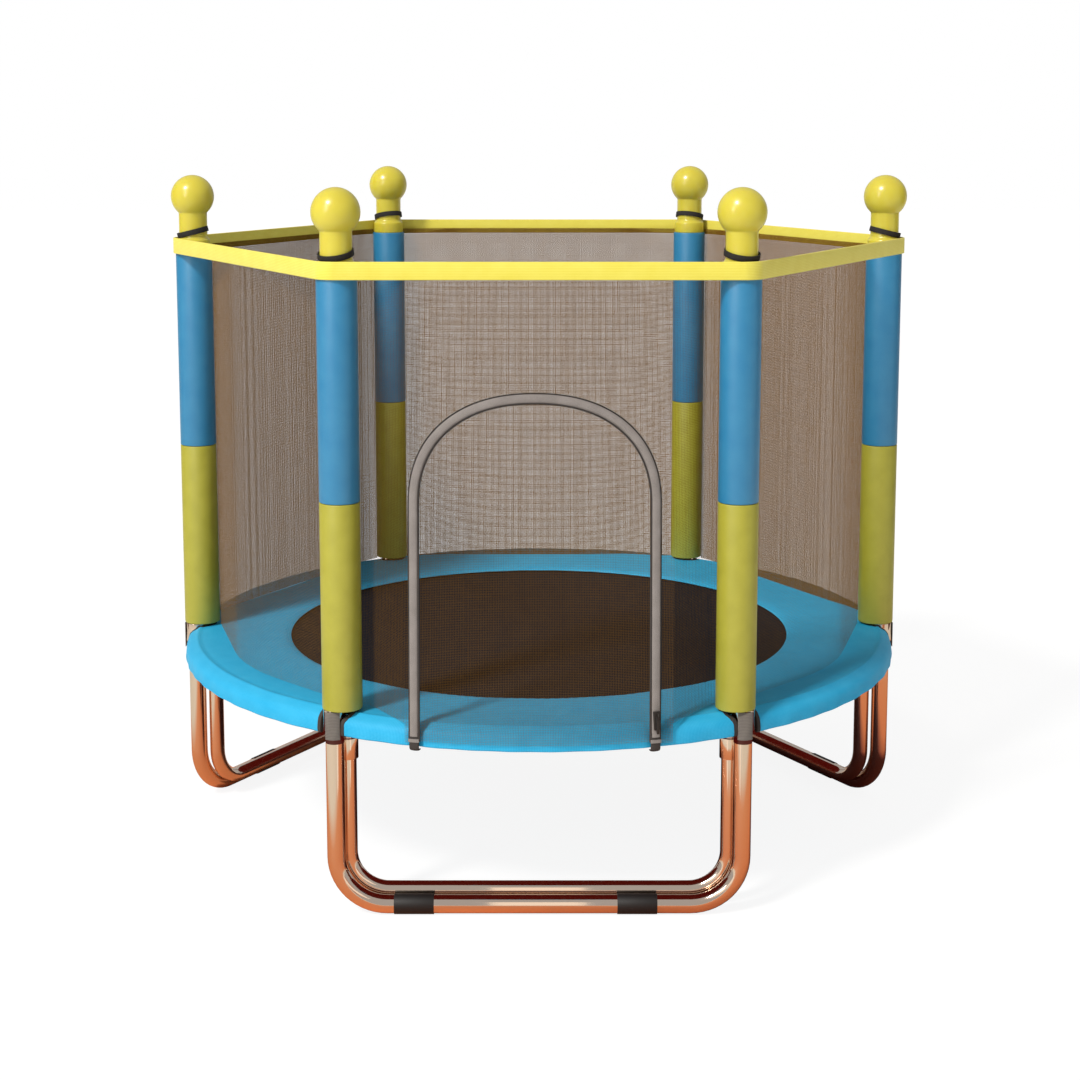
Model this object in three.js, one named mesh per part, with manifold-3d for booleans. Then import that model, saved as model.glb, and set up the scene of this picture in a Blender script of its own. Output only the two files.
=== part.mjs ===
// A child's round trampoline with a net enclosure: a steel ring on three double U legs, six padded
// posts, a bounce mat on elastic lacing, a ring pad and a net wall with a zipped arch door.
// Millimetres, +Z up, the door towards -Y, the origin on the floor under the middle of the mat.
import * as THREE from 'three';
import { mergeVertices } from 'three/addons/utils/BufferGeometryUtils.js';
import Module from 'manifold-3d';

const wasm = await Module();
wasm.setup();

// ---------------------------------------------------------------- driving dimensions
const POST_CIRCLE = 585;      // radius of the circle that the six posts stand on
const POST_TUBE = 12.5;       // radius of a post tube
const POST_BORE = 11;
const POST_TOP = 1012;
const SLEEVE = 30;            // radius of the foam sleeves
const SLEEVE_BORE = 13.4;
const SLEEVE_FOOT = 320.5;    // height of the sleeves' lower end
const COLOUR_SPLIT = 632;     // where the lower sleeve meets the upper one
const SLEEVE_HEAD = 963.7;

const BALL = 36;              // radius of the ball on each cap
const BALL_CENTRE = 1055.6;
const CAP_NECK = 24;
const CAP_COLLAR = { radius: 28.5, top: 980, shoulder: 985, plug: 13, foot: SLEEVE_HEAD + 0.4 };

const RING_CIRCLE = 565.5;    // centreline radius of the frame ring
const RING_TUBE = 14;
const RING_HEIGHT = 281;
const SPIGOT = 11.5;          // radius of the reduced end that plugs into the next segment
const SPIGOT_BORE = 12.3;
const SPIGOT_LENGTH = 30;

const OUTER_LEG = { tube: 14, half: 304, plane: 511, run: 15.2, bend: 76, top: 311.5 };
const INNER_LEG = { tube: 12.5, half: 287, plane: 485, run: 28.5, bend: 61, top: 264 };
const SOCKET = { outer: 15.5, bore: 13.1, foot: 236, roof: 266.5 };
const STUD = { radius: 3, hole: 3.6, end: 617 };
const FOOT_CUP = { outer: 17, bore: 14.5, foot: 288, roof: 312.3, top: 320 };
const GRIP = { flat: 15.2, bore: 14.6, length: 60 };
const GRIP_PLACES = { front: [-188, 148], rear_right: [-150, 148], rear_left: [-188, 120] };

const MAT = { radius: 455, top: 306, sheet: 3, hem: 18, hemThickness: 5 };
const PAD = { inner: 428, outer: 604.5, skirtFoot: 287, crown: 316 };
const PAD_UNDER = 308;        // the pad's underside over the mat
const PAD_FILL = { rim: 312, slope: 314.8, middle: 314 };   // its top, from the rim outwards
const PAD_LIP = { inner: 302.4, corner: 299 };              // its underside over the frame ring
const PAD_STEPS = 48;
const NOTCH = 19.2;           // half width of the pad's notch at each post

const LACING = { cord: 2.5, turns: 24, inner: 460.5, outer: 559, innerHeight: 303.5, outerHeight: 298.2 };

const BAND = { inner: 30.7, outer: 34.6, foot: 960, head: 986.5 };
const LOOP = { inner: 27.6, outer: 29.6, height: 9, centre: 996, lean: 12, shift: 0.8 };

const NET = { offset: 31.3, thickness: 1.2, foot: 290, head: 959.6, footCircle: 609, cord: 10 };
const NET_ON_PAD = 317.5;     // where the net's foot stands on top of the pad
const TUCK = { start: 16.2, offset: -27.1, end: 40, slope: Math.tan(Math.PI / 6) };
const DOOR_SIDE = 195;        // the net's foot hangs outside the skirt within this of the middle
const DOOR_CORDS = 177.5;     // how far the outer cords of the door's side reach
const DOOR = { centre: -6, half: 175, spring: 639, top: 792, squareness: 2.25 };
const DOOR_HEM = 8;
const FLAP = { inset: 9.2, hem: 7, foot: 292, across: 3, up: 4 };
const TAPE = { half: 7.5, gap: 0.4, thickness: 2, foot: 283 };
const STRAP = { half: 8.5, thickness: 3.4, head: 304, under: 281, reach: 20, hook: 2.5 };
const SLIDER = { half: 5.5, length: 28, thickness: 4.5, foot: 311, clear: 1.4 };
const EAR = { width: 1.6, depth: 5.5, height: 5, gap: 0.5, out: 1.75 };   // on the slider, beside the pull
const PULL = { half: 3, length: 30, thickness: 2, above: 1.3, axis: 2.4 };
const PULL_HEIGHT = SLIDER.length * 0.8;

const POST_LINE = POST_CIRCLE * Math.cos(Math.PI / 6);   // distance of a side between two posts
const POST_HALF = POST_CIRCLE / 2;                       // half the distance between two posts
const TURN = Math.PI * 2;
const UP = new THREE.Vector3(0, 0, 1);

// ---------------------------------------------------------------- materials
function finish(color, roughness, metalness) {
  return new THREE.MeshStandardMaterial({ color, roughness, metalness });
}
const steel = () => finish(0xd9a684, 0.15, 1);
const rubber = () => finish(0x141212, 0.8, 0);
const blueFoam = () => finish(0x3a92c8, 0.6, 0);
const yellowFoam = () => finish(0xb5ad45, 0.6, 0);
const yellowPlastic = () => finish(0xf0d63a, 0.3, 0);
const yellowWebbing = () => finish(0xeddc55, 0.6, 0);
const blackElastic = () => finish(0x1c1b1c, 0.8, 0);
const meshCloth = () => finish(0x4a4038, 0.8, 0);
const greyTape = () => finish(0x77706c, 0.7, 0);
const padVinyl = () => finish(0x2f95c2, 0.45, 0);
const matCloth = () => finish(0x3a322c, 0.7, 0);
const blackCord = () => finish(0x22211f, 0.8, 0);

// ---------------------------------------------------------------- solids and meshes
// Turn a closed geometry into a solid that can be cut and joined.
function toSolid(geometry) {
  const bare = geometry.clone();
  bare.deleteAttribute('normal');
  bare.deleteAttribute('uv');
  const merged = mergeVertices(bare, 1e-3);
  const corners = [];
  const index = merged.index.array;
  for (let i = 0; i < index.length; i += 3) {
    const [a, b, c] = [index[i], index[i + 1], index[i + 2]];
    if (a !== b && b !== c && c !== a) corners.push(a, b, c);
  }
  return new wasm.Manifold(new wasm.Mesh({
    numProp: 3,
    vertProperties: new Float32Array(merged.attributes.position.array),
    triVerts: new Uint32Array(corners),
  }));
}

function toGeometry(solid) {
  const mesh = solid.getMesh();
  const geometry = new THREE.BufferGeometry();
  geometry.setAttribute('position', new THREE.BufferAttribute(mesh.vertProperties, 3));
  geometry.setIndex(new THREE.BufferAttribute(mesh.triVerts, 1));
  geometry.computeVertexNormals();
  return geometry;
}

function piece(name, geometry, material) {
  const mesh = new THREE.Mesh(geometry, material);
  mesh.name = name;
  return mesh;
}

// The corners of a regular polygon; `across flats` radius when flat is true.
function polygon(radius, sides, flat = false) {
  const reach = flat ? radius / Math.cos(Math.PI / sides) : radius;
  const points = [];
  for (let i = 0; i < sides; i += 1) {
    const angle = (TURN * (i + 0.5)) / sides;
    points.push(new THREE.Vector2(reach * Math.cos(angle), reach * Math.sin(angle)));
  }
  return points;
}

// An upright round bar or, with a bore, a tube.
function upright(radius, foot, head, { bore = 0, sides = 12, at = [0, 0] } = {}) {
  const shape = new THREE.Shape(polygon(radius, sides));
  if (bore > 0) shape.holes.push(new THREE.Path(polygon(bore, sides)));
  const geometry = new THREE.ExtrudeGeometry(shape, { depth: head - foot, bevelEnabled: false });
  return geometry.translate(at[0], at[1], foot);
}

// A path that has its rings where they are wanted: at the ends of straight runs and round bends.
class RingPath extends THREE.Curve {
  constructor(rings) {
    super();
    this.rings = rings;
  }

  getPointAt(u) {
    return this.rings[Math.round(u * (this.rings.length - 1))].at.clone();
  }

  getTangentAt(u) {
    return this.rings[Math.round(u * (this.rings.length - 1))].along.clone();
  }
}

function tubeAlong(rings, radius, sides) {
  const shape = new THREE.Shape(polygon(radius, sides));
  const extrudePath = new RingPath(rings);
  return new THREE.ExtrudeGeometry(shape, { steps: rings.length - 1, extrudePath });
}

// Rings round an arc of the frame ring's circle, from one azimuth to another.
function arcRings(from, to, steps) {
  const rings = [];
  for (let i = 0; i <= steps; i += 1) {
    const angle = from + ((to - from) * i) / steps;
    const at = new THREE.Vector3(Math.cos(angle), Math.sin(angle), 0).multiplyScalar(RING_CIRCLE);
    at.z = RING_HEIGHT;
    rings.push({ at, along: new THREE.Vector3(-Math.sin(angle), Math.cos(angle), 0) });
  }
  return rings;
}

// ---------------------------------------------------------------- frame
// One third of the ring, with a bored end, a reduced end, two leg sockets and two clamp studs.
function ringSegment() {
  const middle = -Math.PI / 2;
  const halfArc = Math.PI / 3 - 0.3 / RING_CIRCLE;
  const plug = SPIGOT_LENGTH / RING_CIRCLE;
  let solid = toSolid(tubeAlong(arcRings(middle - halfArc, middle + halfArc, 13), RING_TUBE, 12));
  const end = middle + halfArc;
  const start = middle - halfArc;
  solid = solid.add(toSolid(tubeAlong(arcRings(end - plug / 3, end + plug, 2), SPIGOT, 8)));
  for (const side of [-1, 1]) {
    const at = [side * INNER_LEG.half, -INNER_LEG.plane];
    solid = solid.add(toSolid(upright(SOCKET.outer, SOCKET.foot, RING_HEIGHT, { at, sides: 10 })));
    solid = solid.add(toSolid(clampBar(side, STUD.radius, RING_CIRCLE, STUD.end)));
  }
  for (const side of [-1, 1]) {
    const at = [side * INNER_LEG.half, -INNER_LEG.plane];
    const bore = upright(SOCKET.bore, SOCKET.foot - 1, SOCKET.roof, { at, sides: 12 });
    solid = solid.subtract(toSolid(bore));
  }
  const mouth = tubeAlong(arcRings(start - plug / 3, start + plug * 1.08, 2), SPIGOT_BORE, 8);
  return toGeometry(solid.subtract(toSolid(mouth)));
}

// A bar that points out from the middle of the trampoline through an outer leg's arm.
function clampBar(side, radius, from, to) {
  const azimuth = Math.atan2(-OUTER_LEG.plane, side * OUTER_LEG.half);
  const bar = upright(radius, from, to, { sides: 6 });
  bar.rotateY(Math.PI / 2);
  bar.rotateZ(azimuth);
  return bar.translate(0, 0, RING_HEIGHT);
}

// The rings of a U that hangs from two arm tops, in the plane y = -plane.
function uRings({ half, plane, run, bend, top }) {
  const rings = [{ at: new THREE.Vector3(-half, -plane, top), along: new THREE.Vector3(0, 0, -1) }];
  const steps = 5;
  for (const side of [-1, 1]) {
    for (let i = 0; i <= steps; i += 1) {
      const turn = (Math.PI / 2) * (side < 0 ? i / steps : 1 - i / steps);
      const x = side * (half - bend + bend * Math.cos(turn));
      const z = run + bend - bend * Math.sin(turn);
      const along = new THREE.Vector3(Math.sin(turn), 0, side * Math.cos(turn));
      rings.push({ at: new THREE.Vector3(x, -plane, z), along });
    }
  }
  rings.push({ at: new THREE.Vector3(half, -plane, top), along: new THREE.Vector3(0, 0, 1) });
  return rings;
}

function outerLeg() {
  let solid = toSolid(tubeAlong(uRings(OUTER_LEG), OUTER_LEG.tube, 12));
  for (const side of [-1, 1]) {
    solid = solid.subtract(toSolid(clampBar(side, STUD.hole, RING_CIRCLE, STUD.end)));
  }
  return toGeometry(solid);
}

function innerLeg() {
  return tubeAlong(uRings(INNER_LEG), INNER_LEG.tube, 10);
}

// A rubber grip that wraps the floor run and is what the trampoline stands on.
function grip(x) {
  const shape = new THREE.Shape(polygon(GRIP.flat, 12, true));
  shape.holes.push(new THREE.Path(polygon(GRIP.bore, 12)));
  const geometry = new THREE.ExtrudeGeometry(shape, { depth: GRIP.length, bevelEnabled: false });
  geometry.rotateY(Math.PI / 2);
  return geometry.translate(x - GRIP.length / 2, -OUTER_LEG.plane, OUTER_LEG.run);
}

// ---------------------------------------------------------------- posts
// A post tube whose foot is stepped sideways to a cup that slips over the outer leg's arm.
function post(side) {
  const arm = [side * OUTER_LEG.half, -OUTER_LEG.plane];
  const axis = [side * POST_HALF, -POST_LINE];
  const plateFoot = FOOT_CUP.roof + 0.7;
  let solid = toSolid(upright(POST_TUBE, plateFoot, POST_TOP, { at: axis }));
  solid = solid.subtract(toSolid(upright(POST_BORE, FOOT_CUP.top + 5, POST_TOP + 1, { at: axis })));
  solid = solid.add(toSolid(upright(FOOT_CUP.outer, FOOT_CUP.foot, FOOT_CUP.top, { at: arm })));
  solid = solid.add(toSolid(upright(FOOT_CUP.outer, plateFoot, FOOT_CUP.top, { at: axis })));
  solid = solid.add(toSolid(footWeb(arm, axis, plateFoot)));
  solid = solid.subtract(toSolid(upright(FOOT_CUP.bore, FOOT_CUP.foot - 1, FOOT_CUP.roof, { at: arm })));
  return toGeometry(solid);
}

// The plate between the cup and the tube's foot, as wide as both.
function footWeb(arm, axis, foot) {
  const run = new THREE.Vector2(axis[0] - arm[0], axis[1] - arm[1]);
  const web = new THREE.BoxGeometry(run.length(), FOOT_CUP.outer * 1.9, FOOT_CUP.top - foot);
  web.rotateZ(run.angle());
  return web.translate((arm[0] + axis[0]) / 2, (arm[1] + axis[1]) / 2, (foot + FOOT_CUP.top) / 2);
}

function sleeve(foot, head) {
  return upright(SLEEVE, foot, head, { bore: SLEEVE_BORE, sides: 16 });
}

// A moulded ball on a neck, with a collar that covers the top of the sleeve and the band's inner side.
function postCap() {
  const profile = [
    new THREE.Vector2(0, POST_TOP + 0.5),
    new THREE.Vector2(CAP_COLLAR.plug, POST_TOP + 0.5),
    new THREE.Vector2(CAP_COLLAR.plug, CAP_COLLAR.foot),
    new THREE.Vector2(CAP_COLLAR.radius, CAP_COLLAR.foot),
    new THREE.Vector2(CAP_COLLAR.radius, CAP_COLLAR.top),
    new THREE.Vector2(CAP_NECK, CAP_COLLAR.shoulder),
  ];
  const neckTurn = Math.acos(CAP_NECK / BALL);
  const steps = 5;
  for (let i = 0; i < steps; i += 1) {
    const turn = -neckTurn + ((Math.PI / 2 + neckTurn) * i) / steps;
    profile.push(new THREE.Vector2(BALL * Math.cos(turn), BALL_CENTRE + BALL * Math.sin(turn)));
  }
  profile.push(new THREE.Vector2(0, BALL_CENTRE + BALL));
  return new THREE.LatheGeometry(profile, 12).rotateX(Math.PI / 2);
}

// A black elastic loop round the neck, leaning down towards the band that it holds.
function elasticLoop(azimuth) {
  const loop = upright(LOOP.outer, -LOOP.height / 2, LOOP.height / 2, { bore: LOOP.inner });
  loop.rotateY(THREE.MathUtils.degToRad(LOOP.lean));
  loop.translate(LOOP.shift, 0, LOOP.centre);
  return loop.rotateZ(azimuth);
}

// ---------------------------------------------------------------- mat, lacing and pad
function mat() {
  const { radius, top, sheet, hem, hemThickness } = MAT;
  const profile = [
    new THREE.Vector2(0, top - sheet),
    new THREE.Vector2(radius - hem, top - sheet),
    new THREE.Vector2(radius - hem, top - hemThickness),
    new THREE.Vector2(radius, top - hemThickness),
    new THREE.Vector2(radius, top),
    new THREE.Vector2(0, top),
  ];
  return new THREE.LatheGeometry(profile, 48).rotateX(Math.PI / 2);
}

// One elastic cord that runs in a zigzag between the mat's hem and the top of the frame ring.
function lacing() {
  const rings = [];
  const half = Math.PI / LACING.turns;
  const spread = half * 0.16;
  for (let i = 0; i < LACING.turns * 2 - 1; i += 1) {
    const atMat = i % 2 === 0;
    const radius = atMat ? LACING.inner : LACING.outer;
    const height = atMat ? LACING.innerHeight : LACING.outerHeight;
    for (const step of [-1, 1]) {
      const angle = half * i + step * spread;
      const at = new THREE.Vector3(radius * Math.cos(angle), radius * Math.sin(angle), height);
      rings.push({ at });
    }
  }
  rings.forEach((ring, i) => {
    const before = rings[Math.max(i - 1, 0)].at;
    const after = rings[Math.min(i + 1, rings.length - 1)].at;
    ring.along = after.clone().sub(before).normalize();
  });
  return tubeAlong(rings, LACING.cord, 4);
}

// The ring pad: thin where it lies on the mat, full over the frame ring, with a rolled skirt.
function padRing() {
  const { inner, outer, skirtFoot, crown } = PAD;
  const profile = [
    [inner, PAD_UNDER], [inner + 60, PAD_UNDER], [outer - 15, PAD_LIP.inner], [outer - 7.5, PAD_LIP.corner],
    [outer - 6, skirtFoot], [outer, skirtFoot], [outer, crown - 17], [outer - 4, crown - 7],
    [outer - 13, crown - 1.5], [outer - 26, crown], [inner + 100, PAD_FILL.middle],
    [inner + 40, PAD_FILL.slope], [inner, PAD_FILL.rim],
  ];
  const ring = profile.map(([r, z]) => new THREE.Vector2(r, z));
  ring.push(ring[0].clone());
  return new THREE.LatheGeometry(ring, PAD_STEPS).rotateX(Math.PI / 2);
}

// What is cut from the pad for one post: round both the post and the leg's arm, and out past the skirt.
function notch(side) {
  const arm = new THREE.Vector2(side * OUTER_LEG.half, -OUTER_LEG.plane);
  const axis = new THREE.Vector2(side * POST_HALF, -POST_LINE);
  const foot = PAD.skirtFoot - 10;
  const depth = PAD.crown + 10 - foot;
  let solid = toSolid(upright(NOTCH, foot, foot + depth, { at: [arm.x, arm.y], sides: 12 }));
  solid = solid.add(toSolid(upright(NOTCH, foot, foot + depth, { at: [axis.x, axis.y], sides: 12 })));
  const channel = new THREE.BoxGeometry(60, NOTCH * 2, depth);
  channel.translate(30, 0, foot + depth / 2);
  channel.rotateZ(arm.angle());
  channel.translate(arm.x, arm.y, 0);
  return solid.add(toSolid(channel));
}

function pad() {
  let solid = toSolid(padRing());
  for (let third = 0; third < 3; third += 1) {
    for (const side of [-1, 1]) {
      solid = solid.subtract(notch(side).rotate([0, 0, 120 * third]));
    }
  }
  return toGeometry(solid);
}

// ---------------------------------------------------------------- band and net
// The outline that runs round the outside of the six posts at a distance from their axes.
function hexOutline(distance, Kind) {
  const outline = new Kind();
  for (let i = 0; i < 6; i += 1) {
    const azimuth = (Math.PI / 3) * i;
    const x = POST_CIRCLE * Math.cos(azimuth);
    const y = POST_CIRCLE * Math.sin(azimuth);
    outline.absarc(x, y, distance, azimuth - Math.PI / 6, azimuth + Math.PI / 6);
  }
  outline.closePath();
  return outline;
}

function topBand() {
  const shape = hexOutline(BAND.outer, THREE.Shape);
  shape.holes.push(hexOutline(BAND.inner, THREE.Path));
  const options = { depth: BAND.head - BAND.foot, bevelEnabled: false, curveSegments: 4 };
  return new THREE.ExtrudeGeometry(shape, options).translate(0, 0, BAND.foot);
}

// How far outside the posts' axes a plain side of the net stands, at a distance along it from a post:
// it passes the post on the inner side, along its sleeve, and comes out to hang below the band.
function tucked(fromPost) {
  return Math.min(NET.offset, TUCK.offset + (fromPost - TUCK.start) * TUCK.slope);
}

// The stations across one side of the net: where the sheet's inner face is at the head and the foot.
// A cell that starts at an open station holds gaps.
function station(x, headOffset, footOffset, open) {
  const head = new THREE.Vector2(x, -POST_LINE - headOffset);
  const foot = new THREE.Vector2(x, -POST_LINE - footOffset);
  return { head, foot, open };
}

function plainStation(x, i) {
  const offset = tucked(POST_HALF - Math.abs(x));
  return station(x, offset, offset, i % 2 === 1);
}

// The door's side is straight at the head and follows the pad's skirt at the foot.
function doorStation(x, i) {
  const round = Math.sqrt(NET.footCircle ** 2 - x ** 2) - POST_LINE;
  return station(x, NET.offset, round, i % 2 === 1);
}

// Between a post and the door's side, the net comes out from the post's inner side.
function turnStation(x, open) {
  const fromPost = POST_HALF - Math.abs(x);
  const edge = doorStation(DOOR_SIDE, 0);
  const along = Math.max(0, (fromPost - TUCK.end) / (POST_HALF - DOOR_SIDE - TUCK.end));
  const from = tucked(Math.min(fromPost, TUCK.end));
  const headOffset = from + (NET.offset - from) * along;
  const footOffset = from + (-edge.foot.y - POST_LINE - from) * along;
  return station(x, headOffset, footOffset, open);
}

// Places of cords and gaps by turns: cord, gap, cord ... cord, over a length.
function spread(from, to, gaps, cord) {
  const gap = (to - from - cord * (gaps + 1)) / gaps;
  const places = [];
  for (let i = 0; i <= gaps; i += 1) {
    const start = from + i * (gap + cord);
    places.push(start, start + cord);
  }
  return places;
}

// A sheet over stations and rows. isGap(column, row) leaves that cell open.
function sheet(stations, rows, inset, thickness, isGap) {
  const point = (i, j, out) => {
    const { head, foot } = stations[i];
    const rise = (rows[j] - NET.foot) / (NET.head - NET.foot);
    const flat = foot.clone().lerp(head, rise);
    return new THREE.Vector3(flat.x, flat.y - inset - out * thickness, rows[j]);
  };
  const solidAt = (i, j) => i >= 0 && j >= 0 && i < stations.length - 1 && j < rows.length - 1 && !isGap(i, j);
  const positions = [];
  const quad = (a, b, c, d) => {
    for (const v of [a, b, c, a, c, d]) positions.push(v.x, v.y, v.z);
  };
  for (let i = 0; i < stations.length - 1; i += 1) {
    for (let j = 0; j < rows.length - 1; j += 1) {
      if (!solidAt(i, j)) continue;
      const corners = [[i, j], [i + 1, j], [i + 1, j + 1], [i, j + 1]];
      const o = corners.map(([column, row]) => point(column, row, 1));
      const n = corners.map(([column, row]) => point(column, row, 0));
      quad(o[0], o[1], o[2], o[3]);
      quad(n[0], n[3], n[2], n[1]);
      if (!solidAt(i - 1, j)) quad(o[0], o[3], n[3], n[0]);
      if (!solidAt(i + 1, j)) quad(o[1], n[1], n[2], o[2]);
      if (!solidAt(i, j - 1)) quad(o[0], n[0], n[1], o[1]);
      if (!solidAt(i, j + 1)) quad(o[3], o[2], n[2], n[3]);
    }
  }
  const geometry = new THREE.BufferGeometry();
  geometry.setAttribute('position', new THREE.Float32BufferAttribute(positions, 3));
  return mergeVertices(geometry, 1e-4);
}

const NET_EDGE = POST_HALF - TUCK.start;
const DOOR_CORD = DOOR_SIDE + NET.cord;
const TURN_KNEE = POST_HALF - TUCK.end;
const doorPlaces = spread(-DOOR_CORDS, DOOR_CORDS, 3, NET.cord);
const netColumns = [
  turnStation(-NET_EDGE, false), turnStation(NET.cord - NET_EDGE, true),
  turnStation(-TURN_KNEE, true), turnStation(-DOOR_CORD, false),
  ...[-DOOR_SIDE, ...doorPlaces, DOOR_SIDE].map((x, i) => doorStation(x, i + 1)),
  turnStation(DOOR_CORD, true), turnStation(TURN_KNEE, true),
  turnStation(NET_EDGE - NET.cord, false), turnStation(NET_EDGE, false),
];
const upperRows = spread(NET_ON_PAD, NET.head, 5, NET.cord);
const netRows = [NET.foot, NET.foot + NET.cord, ...upperRows];
const plainColumns = spread(-NET_EDGE, NET_EDGE, 5, NET.cord).map(plainStation);
const noGap = () => false;

// Gaps lie between the cords. Beside the door's side the net starts on top of the pad.
function netGap(stations) {
  return (i, j) => stations[i].open && j % 2 === 1;
}

function frontGap(i, j) {
  const middle = (netColumns[i].head.x + netColumns[i + 1].head.x) / 2;
  return netGap(netColumns)(i, j) || (j < 2 && Math.abs(middle) > DOOR_SIDE);
}

function netPanel() {
  return sheet(plainColumns, upperRows, 0, NET.thickness, netGap(plainColumns));
}

// The door's outline, grown or shrunk: two straight legs under a slightly squared half ellipse.
function doorPrism(grow, foot) {
  const shape = new THREE.Shape();
  const half = DOOR.half + grow;
  const rise = DOOR.top - DOOR.spring + grow;
  const steps = 16;
  shape.moveTo(DOOR.centre - half, foot);
  shape.lineTo(DOOR.centre + half, foot);
  for (let i = 0; i <= steps; i += 1) {
    const turn = (Math.PI * i) / steps;
    const across = Math.abs(Math.cos(turn)) ** (2 / DOOR.squareness) * Math.sign(Math.cos(turn));
    const up = Math.sin(turn) ** (2 / DOOR.squareness);
    shape.lineTo(DOOR.centre + half * across, DOOR.spring + rise * up);
  }
  shape.closePath();
  const prism = new THREE.ExtrudeGeometry(shape, { depth: 200, bevelEnabled: false });
  return toSolid(prism.rotateX(Math.PI / 2).translate(0, -480, 0));
}

function doorArch(outside, inside, foot) {
  return doorPrism(outside, foot).subtract(doorPrism(inside, foot - 1));
}

// The front side of the net: the same mesh, cut open for the door and hemmed round the opening.
function frontPanel() {
  const mesh = toSolid(sheet(netColumns, netRows, 0, NET.thickness, frontGap))
    .subtract(doorPrism(DOOR_HEM, NET.foot - 5));
  const hem = toSolid(sheet(netColumns, netRows, 0, NET.thickness, noGap));
  return toGeometry(mesh.add(hem.intersect(doorArch(DOOR_HEM, 0, NET.foot - 5))));
}

// The door flap fills the opening inside the zip and hinges at its foot.
function doorFlap() {
  const reach = DOOR.half + 5;
  const places = spread(DOOR.centre - reach, DOOR.centre + reach, FLAP.across, NET.cord);
  const columns = places.map(doorStation);
  const rows = spread(FLAP.foot, DOOR.top, FLAP.up, NET.cord);
  const mesh = toSolid(sheet(columns, rows, 0, NET.thickness, netGap(columns)));
  const hem = toSolid(sheet(columns, rows, 0, NET.thickness, noGap));
  const cut = mesh.intersect(doorPrism(-FLAP.inset, FLAP.foot - 5));
  return toGeometry(cut.add(hem.intersect(doorArch(-FLAP.inset, -FLAP.inset - FLAP.hem, FLAP.foot - 5))));
}

// The zip's tape: one arch over the net, its two ends thickened to straps that hook under the skirt.
function zipTape() {
  const rows = [TAPE.foot, ...netRows];
  const inset = NET.thickness + TAPE.gap;
  const cloth = toSolid(sheet(netColumns, rows, inset, TAPE.thickness, noGap));
  let solid = cloth.intersect(doorArch(TAPE.half, -TAPE.half, TAPE.foot - 5));
  const strapCloth = toSolid(sheet(netColumns, [STRAP.under, ...netRows], inset, STRAP.thickness, noGap));
  for (const side of [-1, 1]) {
    const x = DOOR.centre + side * DOOR.half;
    const block = new THREE.BoxGeometry(STRAP.half * 2, 200, STRAP.head - STRAP.under);
    block.translate(x, -560, (STRAP.head + STRAP.under) / 2);
    solid = solid.add(strapCloth.intersect(toSolid(block)));
    const hook = new THREE.BoxGeometry(STRAP.half * 2, STRAP.reach, STRAP.hook);
    const root = netPoint(x, NET.foot).y - inset - STRAP.thickness / 2;
    hook.translate(x, root + STRAP.reach / 2, STRAP.under + STRAP.hook / 2);
    solid = solid.add(toSolid(hook));
  }
  return toGeometry(solid);
}

// The point of the front net's inner face at a place across and a height.
function netPoint(x, z) {
  const i = netColumns.findIndex((station) => station.foot.x > x);
  const [a, b] = [netColumns[i - 1], netColumns[i]];
  const along = (x - a.foot.x) / (b.foot.x - a.foot.x);
  const foot = a.foot.clone().lerp(b.foot, along);
  const head = a.head.clone().lerp(b.head, along);
  const at = foot.lerp(head, (z - NET.foot) / (NET.head - NET.foot));
  return new THREE.Vector3(at.x, at.y, z);
}

// ---------------------------------------------------------------- zip slider and pull
// The slider's group lies on the right leg of the arch, square to the tape there.
function sliderGroup() {
  const group = new THREE.Group();
  const x = DOOR.centre + DOOR.half;
  const z = SLIDER.foot;
  const at = netPoint(x, z);
  const across = netPoint(x + SLIDER.half, z).sub(netPoint(x - SLIDER.half, z)).normalize();
  const up = netPoint(x, z + SLIDER.length).sub(at).normalize();
  const inwards = up.clone().cross(across);
  const basis = new THREE.Matrix4().makeBasis(across, inwards, up);
  group.quaternion.setFromRotationMatrix(basis);
  group.position.copy(at).addScaledVector(inwards, -SLIDER.clear);
  group.position.y -= NET.thickness + TAPE.gap + TAPE.thickness;
  return group;
}

// A tapered body with two ears that carry the pull.
function zipSlider() {
  const { half, length, thickness } = SLIDER;
  const outline = new THREE.Shape([
    new THREE.Vector2(-half * 0.6, 0), new THREE.Vector2(half * 0.6, 0),
    new THREE.Vector2(half, length * 0.35), new THREE.Vector2(half, length * 0.85),
    new THREE.Vector2(half * 0.7, length), new THREE.Vector2(-half * 0.7, length),
    new THREE.Vector2(-half, length * 0.85), new THREE.Vector2(-half, length * 0.35),
  ]);
  const body = new THREE.ExtrudeGeometry(outline, { depth: thickness, bevelEnabled: false });
  let solid = toSolid(body.rotateX(Math.PI / 2));
  for (const side of [-1, 1]) {
    const ear = new THREE.BoxGeometry(EAR.width, EAR.depth, EAR.height);
    ear.translate(side * (PULL.half + EAR.gap + EAR.width / 2), -thickness - EAR.out, PULL_HEIGHT);
    solid = solid.add(toSolid(ear));
  }
  return toGeometry(solid);
}

function zipPull() {
  const { half, length, thickness } = PULL;
  const plate = new THREE.Shape([
    new THREE.Vector2(-half, PULL.above), new THREE.Vector2(-half, -length * 0.8),
    new THREE.Vector2(-half * 0.5, -length), new THREE.Vector2(half * 0.5, -length),
    new THREE.Vector2(half, -length * 0.8), new THREE.Vector2(half, PULL.above),
  ]);
  const geometry = new THREE.ExtrudeGeometry(plate, { depth: thickness, bevelEnabled: false });
  geometry.rotateX(Math.PI / 2);
  return geometry.translate(0, -SLIDER.thickness - PULL.axis + thickness / 2, PULL_HEIGHT);
}

// ---------------------------------------------------------------- assembly
const trampoline = new THREE.Group();

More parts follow.
